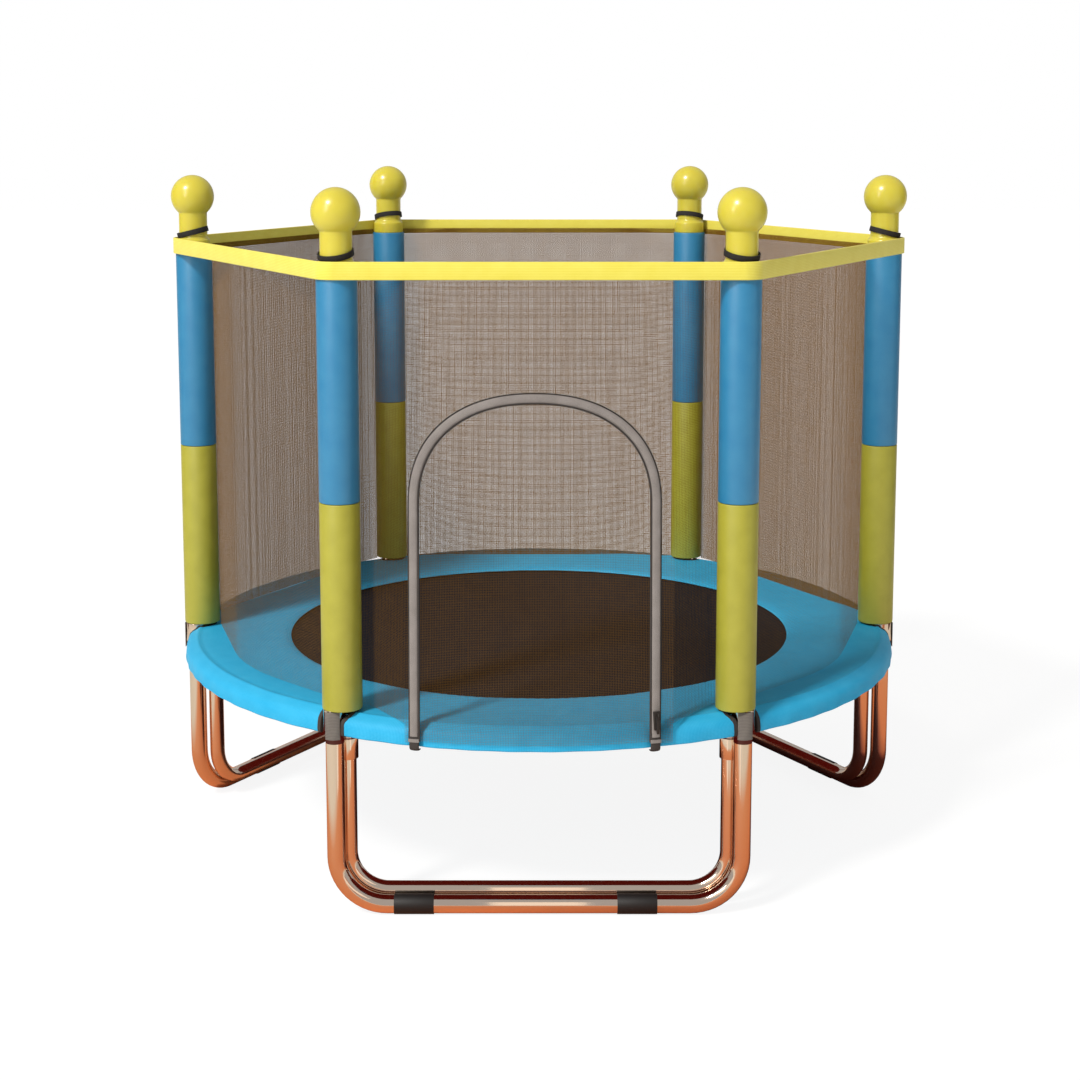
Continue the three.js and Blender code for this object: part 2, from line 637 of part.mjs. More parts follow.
// Each third holds a leg pair and its two posts; its posts are named after where they stand.
const THIRDS = [
  { name: 'front', turn: 0, posts: { [-1]: 'front_left', [1]: 'front_right' } },
  { name: 'rear_right', turn: TURN / 3, posts: { [-1]: 'right', [1]: 'back_right' } },
  { name: 'rear_left', turn: (TURN / 3) * 2, posts: { [-1]: 'back_left', [1]: 'left' } },
];
for (const { name, turn, posts } of THIRDS) {
  const third = new THREE.Group();
  third.rotation.z = turn;
  third.add(piece(`ring_${name}`, ringSegment(), steel()));
  third.add(piece(`outer_leg_${name}`, outerLeg(), steel()));
  third.add(piece(`inner_leg_${name}`, innerLeg(), steel()));
  GRIP_PLACES[name].forEach((x, i) => {
    third.add(piece(`foot_grip_${name}_${i + 1}`, grip(x), rubber()));
  });
  for (const side of [-1, 1]) {
    const place = posts[side];
    third.add(piece(`post_${place}`, post(side), steel()));
    const stack = new THREE.Group();
    stack.position.set(side * POST_HALF, -POST_LINE, 0);
    stack.add(piece(`sleeve_lower_${place}`, sleeve(SLEEVE_FOOT, COLOUR_SPLIT - 0.2), yellowFoam()));
    stack.add(piece(`sleeve_upper_${place}`, sleeve(COLOUR_SPLIT + 0.2, SLEEVE_HEAD), blueFoam()));
    stack.add(piece(`ball_cap_${place}`, postCap(), yellowPlastic()));
    const outwards = Math.atan2(-POST_LINE, side * POST_HALF);
    stack.add(piece(`elastic_loop_${place}`, elasticLoop(outwards), blackElastic()));
    third.add(stack);
  }
  trampoline.add(third);
}

trampoline.add(piece('bounce_mat', mat(), matCloth()));
trampoline.add(piece('elastic_lacing', lacing(), blackCord()));
trampoline.add(piece('ring_pad', pad(), padVinyl()));
trampoline.add(piece('top_band', topBand(), yellowWebbing()));

const SIDES = ['front', 'front_right', 'back_right', 'back', 'back_left', 'front_left'];
SIDES.forEach((name, i) => {
  const panel = piece(`net_${name}`, i === 0 ? frontPanel() : netPanel(), meshCloth());
  panel.rotation.z = (TURN * i) / 6;
  trampoline.add(panel);
});
trampoline.add(piece('door_flap', doorFlap(), meshCloth()));
trampoline.add(piece('zip_tape', zipTape(), greyTape()));

const zip = sliderGroup();
zip.add(piece('zip_slider', zipSlider(), greyTape()));
zip.add(piece('zip_pull', zipPull(), greyTape()));
trampoline.add(zip);

export default trampoline;
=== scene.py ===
# %% [markdown]
# # A child's round trampoline with a net enclosure
#
# The trampoline is a steel ring on three double U legs. Six posts in foam sleeves stand on the
# legs and carry a net wall, and a blue pad covers the elastic lacing between the ring and the mat.
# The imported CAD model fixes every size. This lesson dresses it: each piece is modelled in its
# place, gets the material of the real one, and rides on the body that it belongs to.

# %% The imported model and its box
import math
from typing import NamedTuple

import bmesh
import bpy
import numpy as np
from mathutils import Matrix, Vector


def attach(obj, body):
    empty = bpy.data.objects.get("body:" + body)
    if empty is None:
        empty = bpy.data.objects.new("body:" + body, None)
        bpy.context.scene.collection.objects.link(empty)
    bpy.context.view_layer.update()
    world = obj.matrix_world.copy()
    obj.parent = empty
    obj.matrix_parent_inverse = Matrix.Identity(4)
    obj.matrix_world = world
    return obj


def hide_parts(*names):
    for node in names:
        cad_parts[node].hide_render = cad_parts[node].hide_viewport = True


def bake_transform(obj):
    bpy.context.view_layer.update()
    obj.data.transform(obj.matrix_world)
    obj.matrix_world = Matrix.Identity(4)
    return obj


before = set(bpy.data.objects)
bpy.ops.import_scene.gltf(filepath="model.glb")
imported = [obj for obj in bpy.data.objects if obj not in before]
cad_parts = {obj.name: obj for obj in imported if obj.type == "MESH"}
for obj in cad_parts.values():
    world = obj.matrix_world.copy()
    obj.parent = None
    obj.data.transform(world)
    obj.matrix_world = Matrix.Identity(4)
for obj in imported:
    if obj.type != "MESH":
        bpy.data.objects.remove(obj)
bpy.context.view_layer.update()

# %% [markdown]
# ## The camera
#
# Six identical posts on a circle are a good ruler: the camera's height, tilt and lens follow from
# where their balls and feet appear. It stands 3.4 m in front of the mat's middle, at a grown-up's
# chest height, and looks down by 8 degrees. The picture is cropped below the optical axis, which
# the lens shift repeats.

# %% Camera
CAMERA_PLACE = (0.0, -3.381, 1.206)
CAMERA_TILT = math.radians(90 - 8.12)
LENS_MM = 66.5
SENSOR_MM = 36
SHIFT = (0.001, -0.138)

eye = bpy.data.objects.new("camera", bpy.data.cameras.new("camera"))
eye.location = CAMERA_PLACE
eye.rotation_euler = (CAMERA_TILT, 0, 0)
eye.data.lens = LENS_MM
eye.data.sensor_width = SENSOR_MM
eye.data.shift_x, eye.data.shift_y = SHIFT
bpy.context.scene.collection.objects.link(eye)
bpy.context.scene.camera = eye
bpy.context.scene.view_settings.view_transform = "Standard"
print("camera", eye.location, "lens", LENS_MM)

# %% [markdown]
# ## Small tools for modelling
#
# Blender's operators act on everything that is selected, so each step starts by selecting just
# what it needs. These helpers select objects, pick faces by their place, apply a modifier, make a
# length of hose, and copy a finished piece round the middle, each copy with its own mesh.

# %% Selecting and starting a piece
def only(*things):
    bpy.ops.object.select_all(action="DESELECT")
    for thing in things:
        thing.select_set(True)
    bpy.context.view_layer.objects.active = things[-1]


def begin(name, add, **settings):
    """Adds a primitive, moves its place into its mesh and names it."""
    bpy.ops.object.select_all(action="DESELECT")
    add(**settings)
    thing = bpy.context.object
    bpy.ops.object.transform_apply(location=True, rotation=True, scale=True)
    thing.name = thing.data.name = name
    return thing


def edit(thing):
    """Opens a piece for editing with all of its vertices selected."""
    only(thing)
    bpy.ops.object.mode_set(mode="EDIT")
    bpy.ops.mesh.select_mode(type="VERT")
    bpy.ops.mesh.select_all(action="SELECT")


def finish_edit():
    """Turns all faces outwards and leaves edit mode."""
    bpy.ops.mesh.select_all(action="SELECT")
    bpy.ops.mesh.normals_make_consistent(inside=False)
    bpy.ops.object.mode_set(mode="OBJECT")


def pull_out(x, y, z):
    """Extrudes what is selected by this much."""
    bpy.ops.mesh.extrude_region_move(TRANSFORM_OT_translate={"value": (x, y, z)})


def pick(kind, wanted):
    """In edit mode, selects just what has its middle where wanted(point, normal) says."""
    bpy.ops.mesh.select_mode(type=kind)
    bpy.ops.mesh.select_all(action="DESELECT")
    mesh = bmesh.from_edit_mesh(bpy.context.edit_object.data)
    for part in {"VERT": mesh.verts, "EDGE": mesh.edges, "FACE": mesh.faces}[kind]:
        corners = [part] if kind == "VERT" else part.verts
        middle = sum((v.co for v in corners), Vector()) / len(corners)
        normal = part.normal if kind != "EDGE" else Vector()
        part.select_set(bool(wanted(middle, normal)))
    mesh.select_flush(True)
    bmesh.update_edit_mesh(bpy.context.edit_object.data)


def shape(thing, kind, **settings):
    """Adds a modifier and applies it."""
    only(thing)
    made = thing.modifiers.new(kind.title(), kind)
    for setting, value in settings.items():
        setattr(made, setting, value)
    bpy.ops.object.modifier_apply(modifier=made.name)


def round_edges(thing, width, segments=2, degrees=30):
    """Bevels the edges where a piece turns by more than this."""
    shape(thing, "BEVEL", width=width, segments=segments, limit_method="ANGLE",
          angle_limit=math.radians(degrees))


def smooth(thing, degrees=40):
    only(thing)
    bpy.ops.object.shade_smooth_by_angle(angle=math.radians(degrees))


def hose(name, vertices, radius, foot, run, wall, rim, **how):
    """A length of hose: a circle at foot, pulled out by run, with a wall inwards and round rims."""
    made = begin(name, bpy.ops.mesh.primitive_circle_add, vertices=vertices, radius=radius,
                 location=foot, **how)
    edit(made)
    pull_out(*run)
    finish_edit()
    shape(made, "SOLIDIFY", thickness=wall, offset=-1)
    round_edges(made, *rim)
    smooth(made)
    return made


def copy_turned(thing, name, degrees=0.0, shift=(0, 0, 0)):
    """A copy with its own mesh, shifted and then turned round the trampoline's middle."""
    twin = thing.copy()
    twin.data = thing.data.copy()
    twin.name = twin.data.name = name
    bpy.context.scene.collection.objects.link(twin)
    turn = Matrix.Rotation(math.radians(degrees), 4, "Z")
    twin.data.transform(turn @ Matrix.Translation(shift))
    return twin


def dress(thing, material, slot, *nodes, body="frame"):
    """Gives a finished piece its material and its body, and hides the CAD nodes that it stands for.
    """
    thing.data.materials.clear()
    thing.data.materials.append(material)
    if nodes:
        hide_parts(*nodes)
    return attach(thing, body)


# %% [markdown]
# ## Small tools for materials
#
# A colour is written as the hex value that a picture editor shows, and one function turns it to
# the linear numbers that the shader works in. One more sets or links a node's inputs, and one adds
# a node with its settings and inputs.

# %% Nodes and colours
def linear(hex_colour):
    parts = [int(hex_colour[i : i + 2], 16) / 255 for i in (1, 3, 5)]
    return [c / 12.92 if c < 0.04045 else ((c + 0.055) / 1.055) ** 2.4 for c in parts] + [1]


def put(tree, node, **inputs):
    """Sets a node's inputs, each by its name or as _0, _1 by its number.
    A value is a number, a colour or another node's socket, which gets linked."""
    for name, value in inputs.items():
        socket = node.inputs[int(name[1:]) if name[1:].isdigit() else name.replace("_", " ")]
        if isinstance(value, bpy.types.NodeSocket):
            tree.links.new(value, socket)
        else:
            socket.default_value = value


def add(tree, kind, settings=None, **inputs):
    """Adds a node with its settings and its inputs."""
    made = tree.nodes.new(kind)
    for setting, value in (settings or {}).items():
        setattr(made, setting, value)
    put(tree, made, **inputs)
    return made


def new_material(name):
    """A material with a plain principled shader: returns the material, its tree and the shader."""
    made = bpy.data.materials.new(name)
    made.use_nodes = True
    return made, made.node_tree, made.node_tree.nodes["Principled BSDF"]


# %% [markdown]
# ### Chrome with a painted warm tint
#
# The tubes are plated steel, a mirror metal. The warm tint in its base colour is painted
# reflection: it warms everything the tubes mirror, as a warm room round them would. A plated tube
# is never perfectly even, so a slow noise varies its roughness, and the drawing of the tube leaves
# faint waves along it that bend the reflections a little.

# %% Chrome
chrome, tree, shader = new_material("chrome_plate_painted_warm_reflection")
place = add(tree, "ShaderNodeTexCoord").outputs["Object"]
blotches = add(tree, "ShaderNodeTexNoise", Vector=place, Scale=40.0, Detail=3.0)
dull = add(tree, "ShaderNodeMapRange", Value=blotches.outputs["Fac"], To_Min=0.05, To_Max=0.13)
waves = add(tree, "ShaderNodeTexNoise", Vector=place, Scale=18.0, Detail=1.0)
dents = add(tree, "ShaderNodeBump", Strength=0.12, Distance=0.0006, Height=waves.outputs["Fac"])
# The warm tint of the base colour is painted reflection.
put(tree, shader, Base_Color=linear("#f0dccb"), Metallic=1.0,
    Roughness=dull.outputs["Result"], Normal=dents.outputs["Normal"])
print("made", chrome.name)

# %% [markdown]
# ## The frame ring
#
# The ring is one 28 mm tube in three arcs that plug into one another between the legs. By hand:
# add a circle the size of the tube, stand it on the ring's line and spin it round the middle.
# One arc is made, with all that is welded to it, and copied to its three places.

# %% Ring arcs
RING_CIRCLE = 0.5655
RING_TUBE = 0.014
RING_HEIGHT = 0.288
THIRDS = (("front", 0), ("rear_right", 120), ("rear_left", 240))
ARC_START = 210  # degrees
ARC_TURN = 119.95  # a hair less than a third, so that the arcs stay apart
SPIN_SIGN = -1  # bpy.ops.mesh.spin turns clockwise for a positive angle


def spin(degrees, steps, centre, axis):
    bpy.ops.mesh.spin(
        steps=steps, angle=math.radians(degrees) * SPIN_SIGN, center=centre, axis=axis
    )


def close_ends():
    bpy.ops.mesh.select_all(action="SELECT")
    bpy.ops.mesh.fill_holes(sides=0)
    finish_edit()


start = math.radians(ARC_START)
ring_arc = begin(
    "ring_arc", bpy.ops.mesh.primitive_circle_add, vertices=32, radius=RING_TUBE,
    location=(RING_CIRCLE * math.cos(start), RING_CIRCLE * math.sin(start), RING_HEIGHT),
    rotation=(math.pi / 2, 0, start),
)
edit(ring_arc)
spin(ARC_TURN, 60, (0, 0, RING_HEIGHT), (0, 0, 1))
close_ends()
print("ring arc", [round(x, 3) for x in ring_arc.dimensions])

# %% [markdown]
# ### Sockets and hooks on the ring
#
# Two short tubes are welded under each arc for the tops of an inner leg's arms, and eight wire
# staples on it carry the lacing. A socket is a cylinder whose lower face is inset by the wall and
# pushed up into it. A staple is a wire's outline spun half a turn.

# %% Leg sockets and lacing hooks
INNER_LEG = dict(tube=0.0125, half=0.287, plane=0.485, run=0.0285, bend=0.061, top=0.264)
SOCKET_RADIUS, SOCKET_WALL = 0.0155, 0.0022
SOCKET_LENGTH, SOCKET_MIDDLE = 0.04, 0.256
SOCKET_DEPTH = 0.012
HOOK_CIRCLE = 0.5585
HOOK_WIRE = 0.0016
HOOK_REACH = 0.011
HOOK_FOOT = 0.2912
HOOKS_IN_ARC = 8
HOOK_STEP = 120 / HOOKS_IN_ARC  # degrees


def socket(side):
    made = begin(
        "socket", bpy.ops.mesh.primitive_cylinder_add, vertices=32, radius=SOCKET_RADIUS,
        depth=SOCKET_LENGTH,
        location=(side * INNER_LEG["half"], -INNER_LEG["plane"], SOCKET_MIDDLE),
    )
    edit(made)
    pick("FACE", lambda at, normal: normal.z < -0.9)
    bpy.ops.mesh.inset(thickness=SOCKET_WALL)
    pull_out(0, 0, SOCKET_DEPTH)
    bpy.ops.object.mode_set(mode="OBJECT")
    round_edges(made, 0.0006)
    return made


def hook(degrees):
    """A wire staple on top of the ring that the elastic cord runs through."""
    made = begin(
        "hook", bpy.ops.mesh.primitive_circle_add, vertices=10, radius=HOOK_WIRE,
        location=(HOOK_CIRCLE, -HOOK_REACH, HOOK_FOOT),
    )
    edit(made)
    spin(-180, 14, (HOOK_CIRCLE, 0, HOOK_FOOT), (1, 0, 0))
    close_ends()
    made.data.transform(Matrix.Rotation(math.radians(degrees), 4, "Z"))
    return made


fittings = [socket(-1), socket(1)]
for i in range(HOOKS_IN_ARC):
    fittings.append(hook(ARC_START + HOOK_STEP * (i + 0.5)))
only(*fittings, ring_arc)
bpy.ops.object.join()
smooth(ring_arc)
for name, degrees in THIRDS:
    arc = copy_turned(ring_arc, f"frame_ring_{name}", degrees)
    dress(arc, chrome, "chromed_tube", f"ring_{name}")
bpy.data.objects.remove(ring_arc)
print("ring with", 3 * HOOKS_IN_ARC, "lacing hooks")

# %% [markdown]
# ## The double U legs
#
# Each leg is two bent tubes side by side. A tube bender turns a straight tube round a former, and
# the same steps make it here: extrude the circle down, spin it a quarter turn, run along the
# floor, spin it again and go up.

# %% Legs
OUTER_LEG = dict(tube=0.014, half=0.304, plane=0.511, run=0.0152, bend=0.076, top=0.3115)


def bent_leg(name, tube, half, plane, run, bend, top):
    """A tube down from the top of the left arm, along the floor at the height run, and up again."""
    leg = begin(
        name, bpy.ops.mesh.primitive_circle_add, vertices=32, radius=tube,
        location=(-half, -plane, top),
    )
    edit(leg)
    pull_out(0, 0, run + bend - top)
    spin(-90, 14, (bend - half, -plane, run + bend), (0, 1, 0))
    pull_out(2 * (half - bend), 0, 0)
    spin(-90, 14, (half - bend, -plane, run + bend), (0, 1, 0))
    pull_out(0, 0, top - run - bend)
    close_ends()
    smooth(leg)
    return leg


for kind, sizes in (("outer", OUTER_LEG), ("inner", INNER_LEG)):
    leg = bent_leg(f"{kind}_leg", **sizes)
    print(kind, "leg", [round(x, 3) for x in leg.dimensions])
    for name, degrees in THIRDS:
        placed = copy_turned(leg, f"{kind}_u_leg_{name}", degrees)
        dress(placed, chrome, "chromed_tube", f"{kind}_leg_{name}")
    bpy.data.objects.remove(leg)

# %% [markdown]
# ## Rubber grips
#
# Each grip is a short length of rubber hose pushed on the floor tube before it was bent. It is
# nearly black, matt, and its cut ends are a little rounded, which gives it a thin light edge.

# %% Rubber and grips
rubber, tree, shader = new_material("black_extruded_rubber")
place = add(tree, "ShaderNodeTexCoord").outputs["Object"]
grain = add(tree, "ShaderNodeTexNoise", Vector=place, Scale=900.0, Detail=4.0)
skin = add(tree, "ShaderNodeBump", Strength=0.25, Distance=0.0002, Height=grain.outputs["Fac"])
worn = add(tree, "ShaderNodeMapRange", Value=grain.outputs["Fac"], To_Min=0.5, To_Max=0.75)
put(tree, shader, Base_Color=linear("#100d0d"), Roughness=worn.outputs["Result"],
    Normal=skin.outputs["Normal"])

GRIP_RADIUS = 0.0152
GRIP_WALL = 0.0011
GRIP_LENGTH = 0.06
GRIPS = {  # the middles of each leg's two grips, along its run
    "front": (-0.188, 0.148), "rear_right": (-0.150, 0.148), "rear_left": (-0.188, 0.120),
}

grip_foot = (-GRIP_LENGTH / 2, -OUTER_LEG["plane"], OUTER_LEG["run"])
grip = hose("grip", 48, GRIP_RADIUS, grip_foot, (GRIP_LENGTH, 0, 0), GRIP_WALL, (0.0004,),
            rotation=(0, math.pi / 2, 0))
for name, degrees in THIRDS:
    for i, x in enumerate(GRIPS[name]):
        piece = copy_turned(grip, f"rubber_grip_{name}_{i + 1}", degrees, (x, 0, 0))
        dress(piece, rubber, "grip_rubber", f"foot_grip_{name}_{i + 1}")
bpy.data.objects.remove(grip)
print("six grips,", GRIP_LENGTH, "m long")

# %% [markdown]
# ## Post feet
#
# A post stands a little inside its leg's arm, so its foot is stepped: a short cup slips over the
# arm, and the post's own tube rises beside it into the foam sleeve. Only the cup shows, under the
# sleeve. It is a cylinder with a bevelled lip and a clamping bolt.

# %% Post tubes
POST_CIRCLE = 0.585
POST_PLANE = POST_CIRCLE * math.cos(math.pi / 6)
POST_HALF = POST_CIRCLE / 2
POSTS = (  # a post's name, its side of the leg that carries it, and how far that leg is turned
    ("front_left", -1, 0), ("front_right", 1, 0), ("right", -1, 120), ("back_right", 1, 120),
    ("back_left", -1, 240), ("left", 1, 240),
)
CUP_RADIUS, CUP_LENGTH, CUP_MIDDLE = 0.017, 0.0322, 0.3041
CUP_LIP, CUP_FLARE = 0.29, 1.06
TUBE_RADIUS, TUBE_LENGTH, TUBE_MIDDLE = 0.0125, 0.694, 0.665
BOLT_RADIUS, BOLT_LENGTH = 0.0055, 0.005
BOLT_OUT, BOLT_HEIGHT = 0.0188, 0.302


def post_foot(side):
    arm = (side * OUTER_LEG["half"], -OUTER_LEG["plane"])
    axis = (side * POST_HALF, -POST_PLANE)
    cup = begin(
        "cup", bpy.ops.mesh.primitive_cylinder_add, vertices=40, radius=CUP_RADIUS,
        depth=CUP_LENGTH, location=(*arm, CUP_MIDDLE),
    )
    edit(cup)
    pick("FACE", lambda at, normal: abs(normal.z) < 0.1)
    bpy.ops.mesh.subdivide(number_cuts=1)
    pick("VERT", lambda at, normal: at.z < CUP_LIP)
    bpy.ops.transform.resize(value=(CUP_FLARE, CUP_FLARE, 1), center_override=(*arm, CUP_LIP))
    bpy.ops.object.mode_set(mode="OBJECT")
    round_edges(cup, 0.0012, 3)
    tube = begin(
        "tube", bpy.ops.mesh.primitive_cylinder_add, vertices=40, radius=TUBE_RADIUS,
        depth=TUBE_LENGTH, location=(*axis, TUBE_MIDDLE),
    )
    bolt = begin(
        "bolt", bpy.ops.mesh.primitive_cylinder_add, vertices=6, radius=BOLT_RADIUS,
        depth=BOLT_LENGTH, location=(arm[0] - side * BOLT_OUT, arm[1], BOLT_HEIGHT),
        rotation=(0, math.pi / 2, 0),
    )
    round_edges(bolt, 0.0008)
    only(tube, bolt, cup)
    bpy.ops.object.join()
    smooth(cup)
    return cup


def at_each_post(make, name, material, slot, node=None):
    """Makes a piece for the front leg's left and right post and copies both to the other legs."""
    for side in (-1, 1):
        first = make(side)
        for where, its_side, degrees in POSTS:
            if its_side == side:
                nodes = [f"{node}_{where}"] if node else []
                dress(copy_turned(first, f"{name}_{where}", degrees), material, slot, *nodes)
        bpy.data.objects.remove(first)


at_each_post(post_foot, "post_foot", chrome, "chromed_tube", "post")
print("six post feet")

# %% [markdown]
# ## Foam sleeves
#
# A sleeve is a foam tube in a printed cover that shines a little. The cover is a fine plain weave
# of about one thread in a millimetre, drawn at 1.4 mm so that it shows. The weave follows the
# sleeve's own surface, so it needs a UV map that is measured in metres: round the sleeve, and up.

# %% Cloth wound round a tube
def cloth_map(thing):
    """The piece's UV map for its cloth, made if it has none."""
    return thing.data.uv_layers.get("cloth") or thing.data.uv_layers.new(name="cloth")


def wrap_uv(thing, radius, centre=(0, 0), height=lambda at: at.z):
    """A UV map in metres: how far round the upright line at centre, and how high."""
    layer = cloth_map(thing)
    for face in thing.data.polygons:
        ats = [thing.data.vertices[thing.data.loops[c].vertex_index].co for c in face.loop_indices]
        turns = [math.atan2(at.y - centre[1], at.x - centre[0]) for at in ats]
        wraps = max(turns) - min(turns) > math.pi
        for corner, at, turn in zip(face.loop_indices, ats, turns):
            turn += math.tau if wraps and turn < 0 else 0
            layer.data[corner].uv = (turn * radius, height(at))


def woven(name, colours, thread, roughness, depth, sheen=0.0, warp=1.0, shine=0.5):
    """A woven or knitted cloth in two shades. Two crossed waves make the weave, and their product
    lifts each crossing. A wave node has 20 waves in tau metres at scale 1, so half of 1 / thread
    puts the threads 0.63 of thread apart, in metres."""
    made, tree, shader = new_material(name)
    cloth = add(tree, "ShaderNodeUVMap", {"uv_map": "cloth"}).outputs["UV"]
    scale = 0.5 / thread
    across = add(tree, "ShaderNodeTexWave", {"bands_direction": "X"}, Vector=cloth, Scale=scale,
                 Distortion=0.6, Detail=1.0)
    along = add(tree, "ShaderNodeTexWave", {"bands_direction": "Y"}, Vector=cloth,
                Scale=scale * warp, Distortion=0.6, Detail=1.0)
    weave = add(tree, "ShaderNodeMath", {"operation": "MULTIPLY"}, _0=across.outputs["Fac"],
                _1=along.outputs["Fac"])
    slub = add(tree, "ShaderNodeTexNoise", Vector=cloth, Scale=35.0, Detail=3.0)
    patch = add(tree, "ShaderNodeMath", {"operation": "MULTIPLY_ADD"}, _0=slub.outputs["Fac"],
                _1=0.6, _2=weave.outputs["Value"])
    mix = add(tree, "ShaderNodeValToRGB", Fac=patch.outputs["Value"])
    mix.color_ramp.elements[0].position = 0.2
    mix.color_ramp.elements[0].color = linear(colours[0])
    mix.color_ramp.elements[1].position = 1.0
    mix.color_ramp.elements[1].color = linear(colours[1])
    bump = add(tree, "ShaderNodeBump", Strength=0.5, Distance=depth, Height=weave.outputs["Value"])
    put(tree, shader, Base_Color=mix.outputs["Color"], Roughness=roughness,
        Normal=bump.outputs["Normal"], Sheen_Weight=sheen, Specular_IOR_Level=shine)
    return made


COVER_WEAVE = dict(thread=0.0022, roughness=0.4, depth=0.0002, shine=0.8)
blue_cover = woven("blue_woven_sleeve_cover", ("#0e72a2", "#3589b0"), **COVER_WEAVE)
yellow_cover = woven("yellow_green_woven_sleeve_cover", ("#989222", "#b6b03a"), **COVER_WEAVE)

# %% [markdown]
# ### Two sleeves on each post
#
# A foam sleeve is cut square from a long tube, and its cover draws the cut edges in. So an
# outline is pulled up, given the foam's thickness inwards and rounded at its ends, as the grips
# were. The yellow sleeve stands on the cup, and the blue one on the yellow.

# %% Sleeves
SLEEVE_RADIUS = 0.030
SLEEVE_WALL = 0.0165
LOWER_SLEEVE = (0.3205, 0.6318)  # the heights of its foot and head
UPPER_SLEEVE = (0.6322, 0.9637)


def foam_sleeve(name, foot, head):
    up = (0, 0, head - foot)
    return hose(name, 64, SLEEVE_RADIUS, (0, 0, foot), up, SLEEVE_WALL, (0.0016, 3))


lower = foam_sleeve("lower_sleeve", *LOWER_SLEEVE)
upper = foam_sleeve("upper_sleeve", *UPPER_SLEEVE)
for where, side, degrees in POSTS:
    turn = Matrix.Rotation(math.radians(degrees), 3, "Z")
    stand = turn @ Vector((side * POST_HALF, -POST_PLANE, 0))
    for part, cover, slot, node in (
        (lower, yellow_cover, "yellow_foam_cover", "sleeve_lower"),
        (upper, blue_cover, "blue_foam_cover", "sleeve_upper"),
    ):
        sleeve = copy_turned(part, f"foam_{node}_{where}", 0, stand)
        wrap_uv(sleeve, SLEEVE_RADIUS, stand)
        dress(sleeve, cover, slot, f"{node}_{where}")
bpy.data.objects.remove(lower)
bpy.data.objects.remove(upper)
print("twelve foam sleeves")

# %% [markdown]
# ## Ball caps
#
# Each post ends in a hollow moulded ball with a neck and a collar. A UV sphere is cut flat near
# its foot, and the open edge is then pulled down and widened in steps: neck, shoulder, collar.
# Glossy polyethylene is smooth but lets a little light in, so its shaded side stays a warm yellow.

# %% Yellow plastic and the caps
plastic, tree, shader = new_material("yellow_moulded_polyethylene")
place = add(tree, "ShaderNodeTexCoord").outputs["Object"]
flow = add(tree, "ShaderNodeTexNoise", Vector=place, Scale=30.0, Detail=2.0)
tone = add(tree, "ShaderNodeValToRGB", Fac=flow.outputs["Fac"])
tone.color_ramp.elements[0].color = linear("#cbbb3a")
tone.color_ramp.elements[1].color = linear("#d3c748")
fine = add(tree, "ShaderNodeTexNoise", Vector=place, Scale=500.0, Detail=2.0)
peel = add(tree, "ShaderNodeBump", Strength=0.08, Distance=0.0002, Height=fine.outputs["Fac"])
put(tree, shader, Base_Color=tone.outputs["Color"], Roughness=0.3, Normal=peel.outputs["Normal"],
    Subsurface_Weight=0.5, Subsurface_Radius=(0.02, 0.015, 0.003), Subsurface_Scale=0.6,
    Coat_Weight=0.25, Coat_Roughness=0.12)

BALL = 0.036
BALL_CENTRE = 1.0556
NECK = 0.024
CAP_STEPS = (  # how far down, and how much wider: the fillet, the neck, the shoulder, the collar
    (0.0025, 0.985), (0.038, 1.0), (0.004, 1.12), (0.0015, 1.06), (0.019, 1.0),
)
cap = begin(
    "cap", bpy.ops.mesh.primitive_uv_sphere_add, segments=48, ring_count=32, radius=BALL,
    location=(0, 0, BALL_CENTRE),
)
edit(cap)
neck_top = BALL_CENTRE - math.sqrt(BALL**2 - NECK**2)
bpy.ops.mesh.bisect(plane_co=(0, 0, neck_top), plane_no=(0, 0, 1), clear_inner=True)
pick("EDGE", lambda at, normal: at.z < neck_top + 1e-4)
for drop, widen in CAP_STEPS:
    pull_out(0, 0, -drop)
    bpy.ops.transform.resize(value=(widen, widen, 1), center_override=(0, 0, 0))
bpy.ops.mesh.edge_face_add()
finish_edit()
round_edges(cap, 0.0012, 3, 25)
smooth(cap, 35)
for where, side, degrees in POSTS:
    piece = copy_turned(cap, f"ball_top_{where}", degrees, (side * POST_HALF, -POST_PLANE, 0))
    dress(piece, plastic, "yellow_plastic", f"ball_cap_{where}")
print("six ball caps", [round(x, 3) for x in cap.dimensions])
bpy.data.objects.remove(cap)

# %% [markdown]
# ## Elastic loops
#
# A black elastic loop round each neck holds the band up. It leans: low in front, where it is
# sewn to the band, and high behind.

# %% Elastic loops
LOOP_RADIUS = 0.0266
LOOP_WIDTH = 0.009
LOOP_THICK = 0.0018
LOOP_HEIGHT = 0.9955
LOOP_LEAN = math.radians(14)
elastic = woven("black_knitted_elastic", ("#171514", "#2c2826"), 0.0012, 0.85, 0.0002, warp=0.4)

loop_foot = (0, 0, -LOOP_WIDTH / 2)
loop = hose("loop", 48, LOOP_RADIUS, loop_foot, (0, 0, LOOP_WIDTH), LOOP_THICK, (0.0005,))
wrap_uv(loop, SLEEVE_RADIUS)
lean = Matrix.Translation((0.0008, 0, LOOP_HEIGHT)) @ Matrix.Rotation(LOOP_LEAN, 4, "Y")
round_the_ring = ("right", "back_right", "back_left", "left", "front_left", "front_right")
for i, where in enumerate(round_the_ring):
    leaning = copy_turned(loop, f"elastic_ring_{where}")
    leaning.data.transform(Matrix.Translation((POST_CIRCLE, 0, 0)) @ lean)
    leaning.data.transform(Matrix.Rotation(math.radians(60 * i), 4, "Z"))
    dress(leaning, elastic, "black_elastic", f"elastic_loop_{where}")
bpy.data.objects.remove(loop)
print("six elastic loops")

# %% [markdown]
# ## The yellow band
#
# The band is a strip of webbing sewn round the posts' tops. A hexagon of six vertices is
# bevelled at its corners to go round the posts, extruded up by the band's width and given its
# thickness. Its rounded edges come from a small bevel.

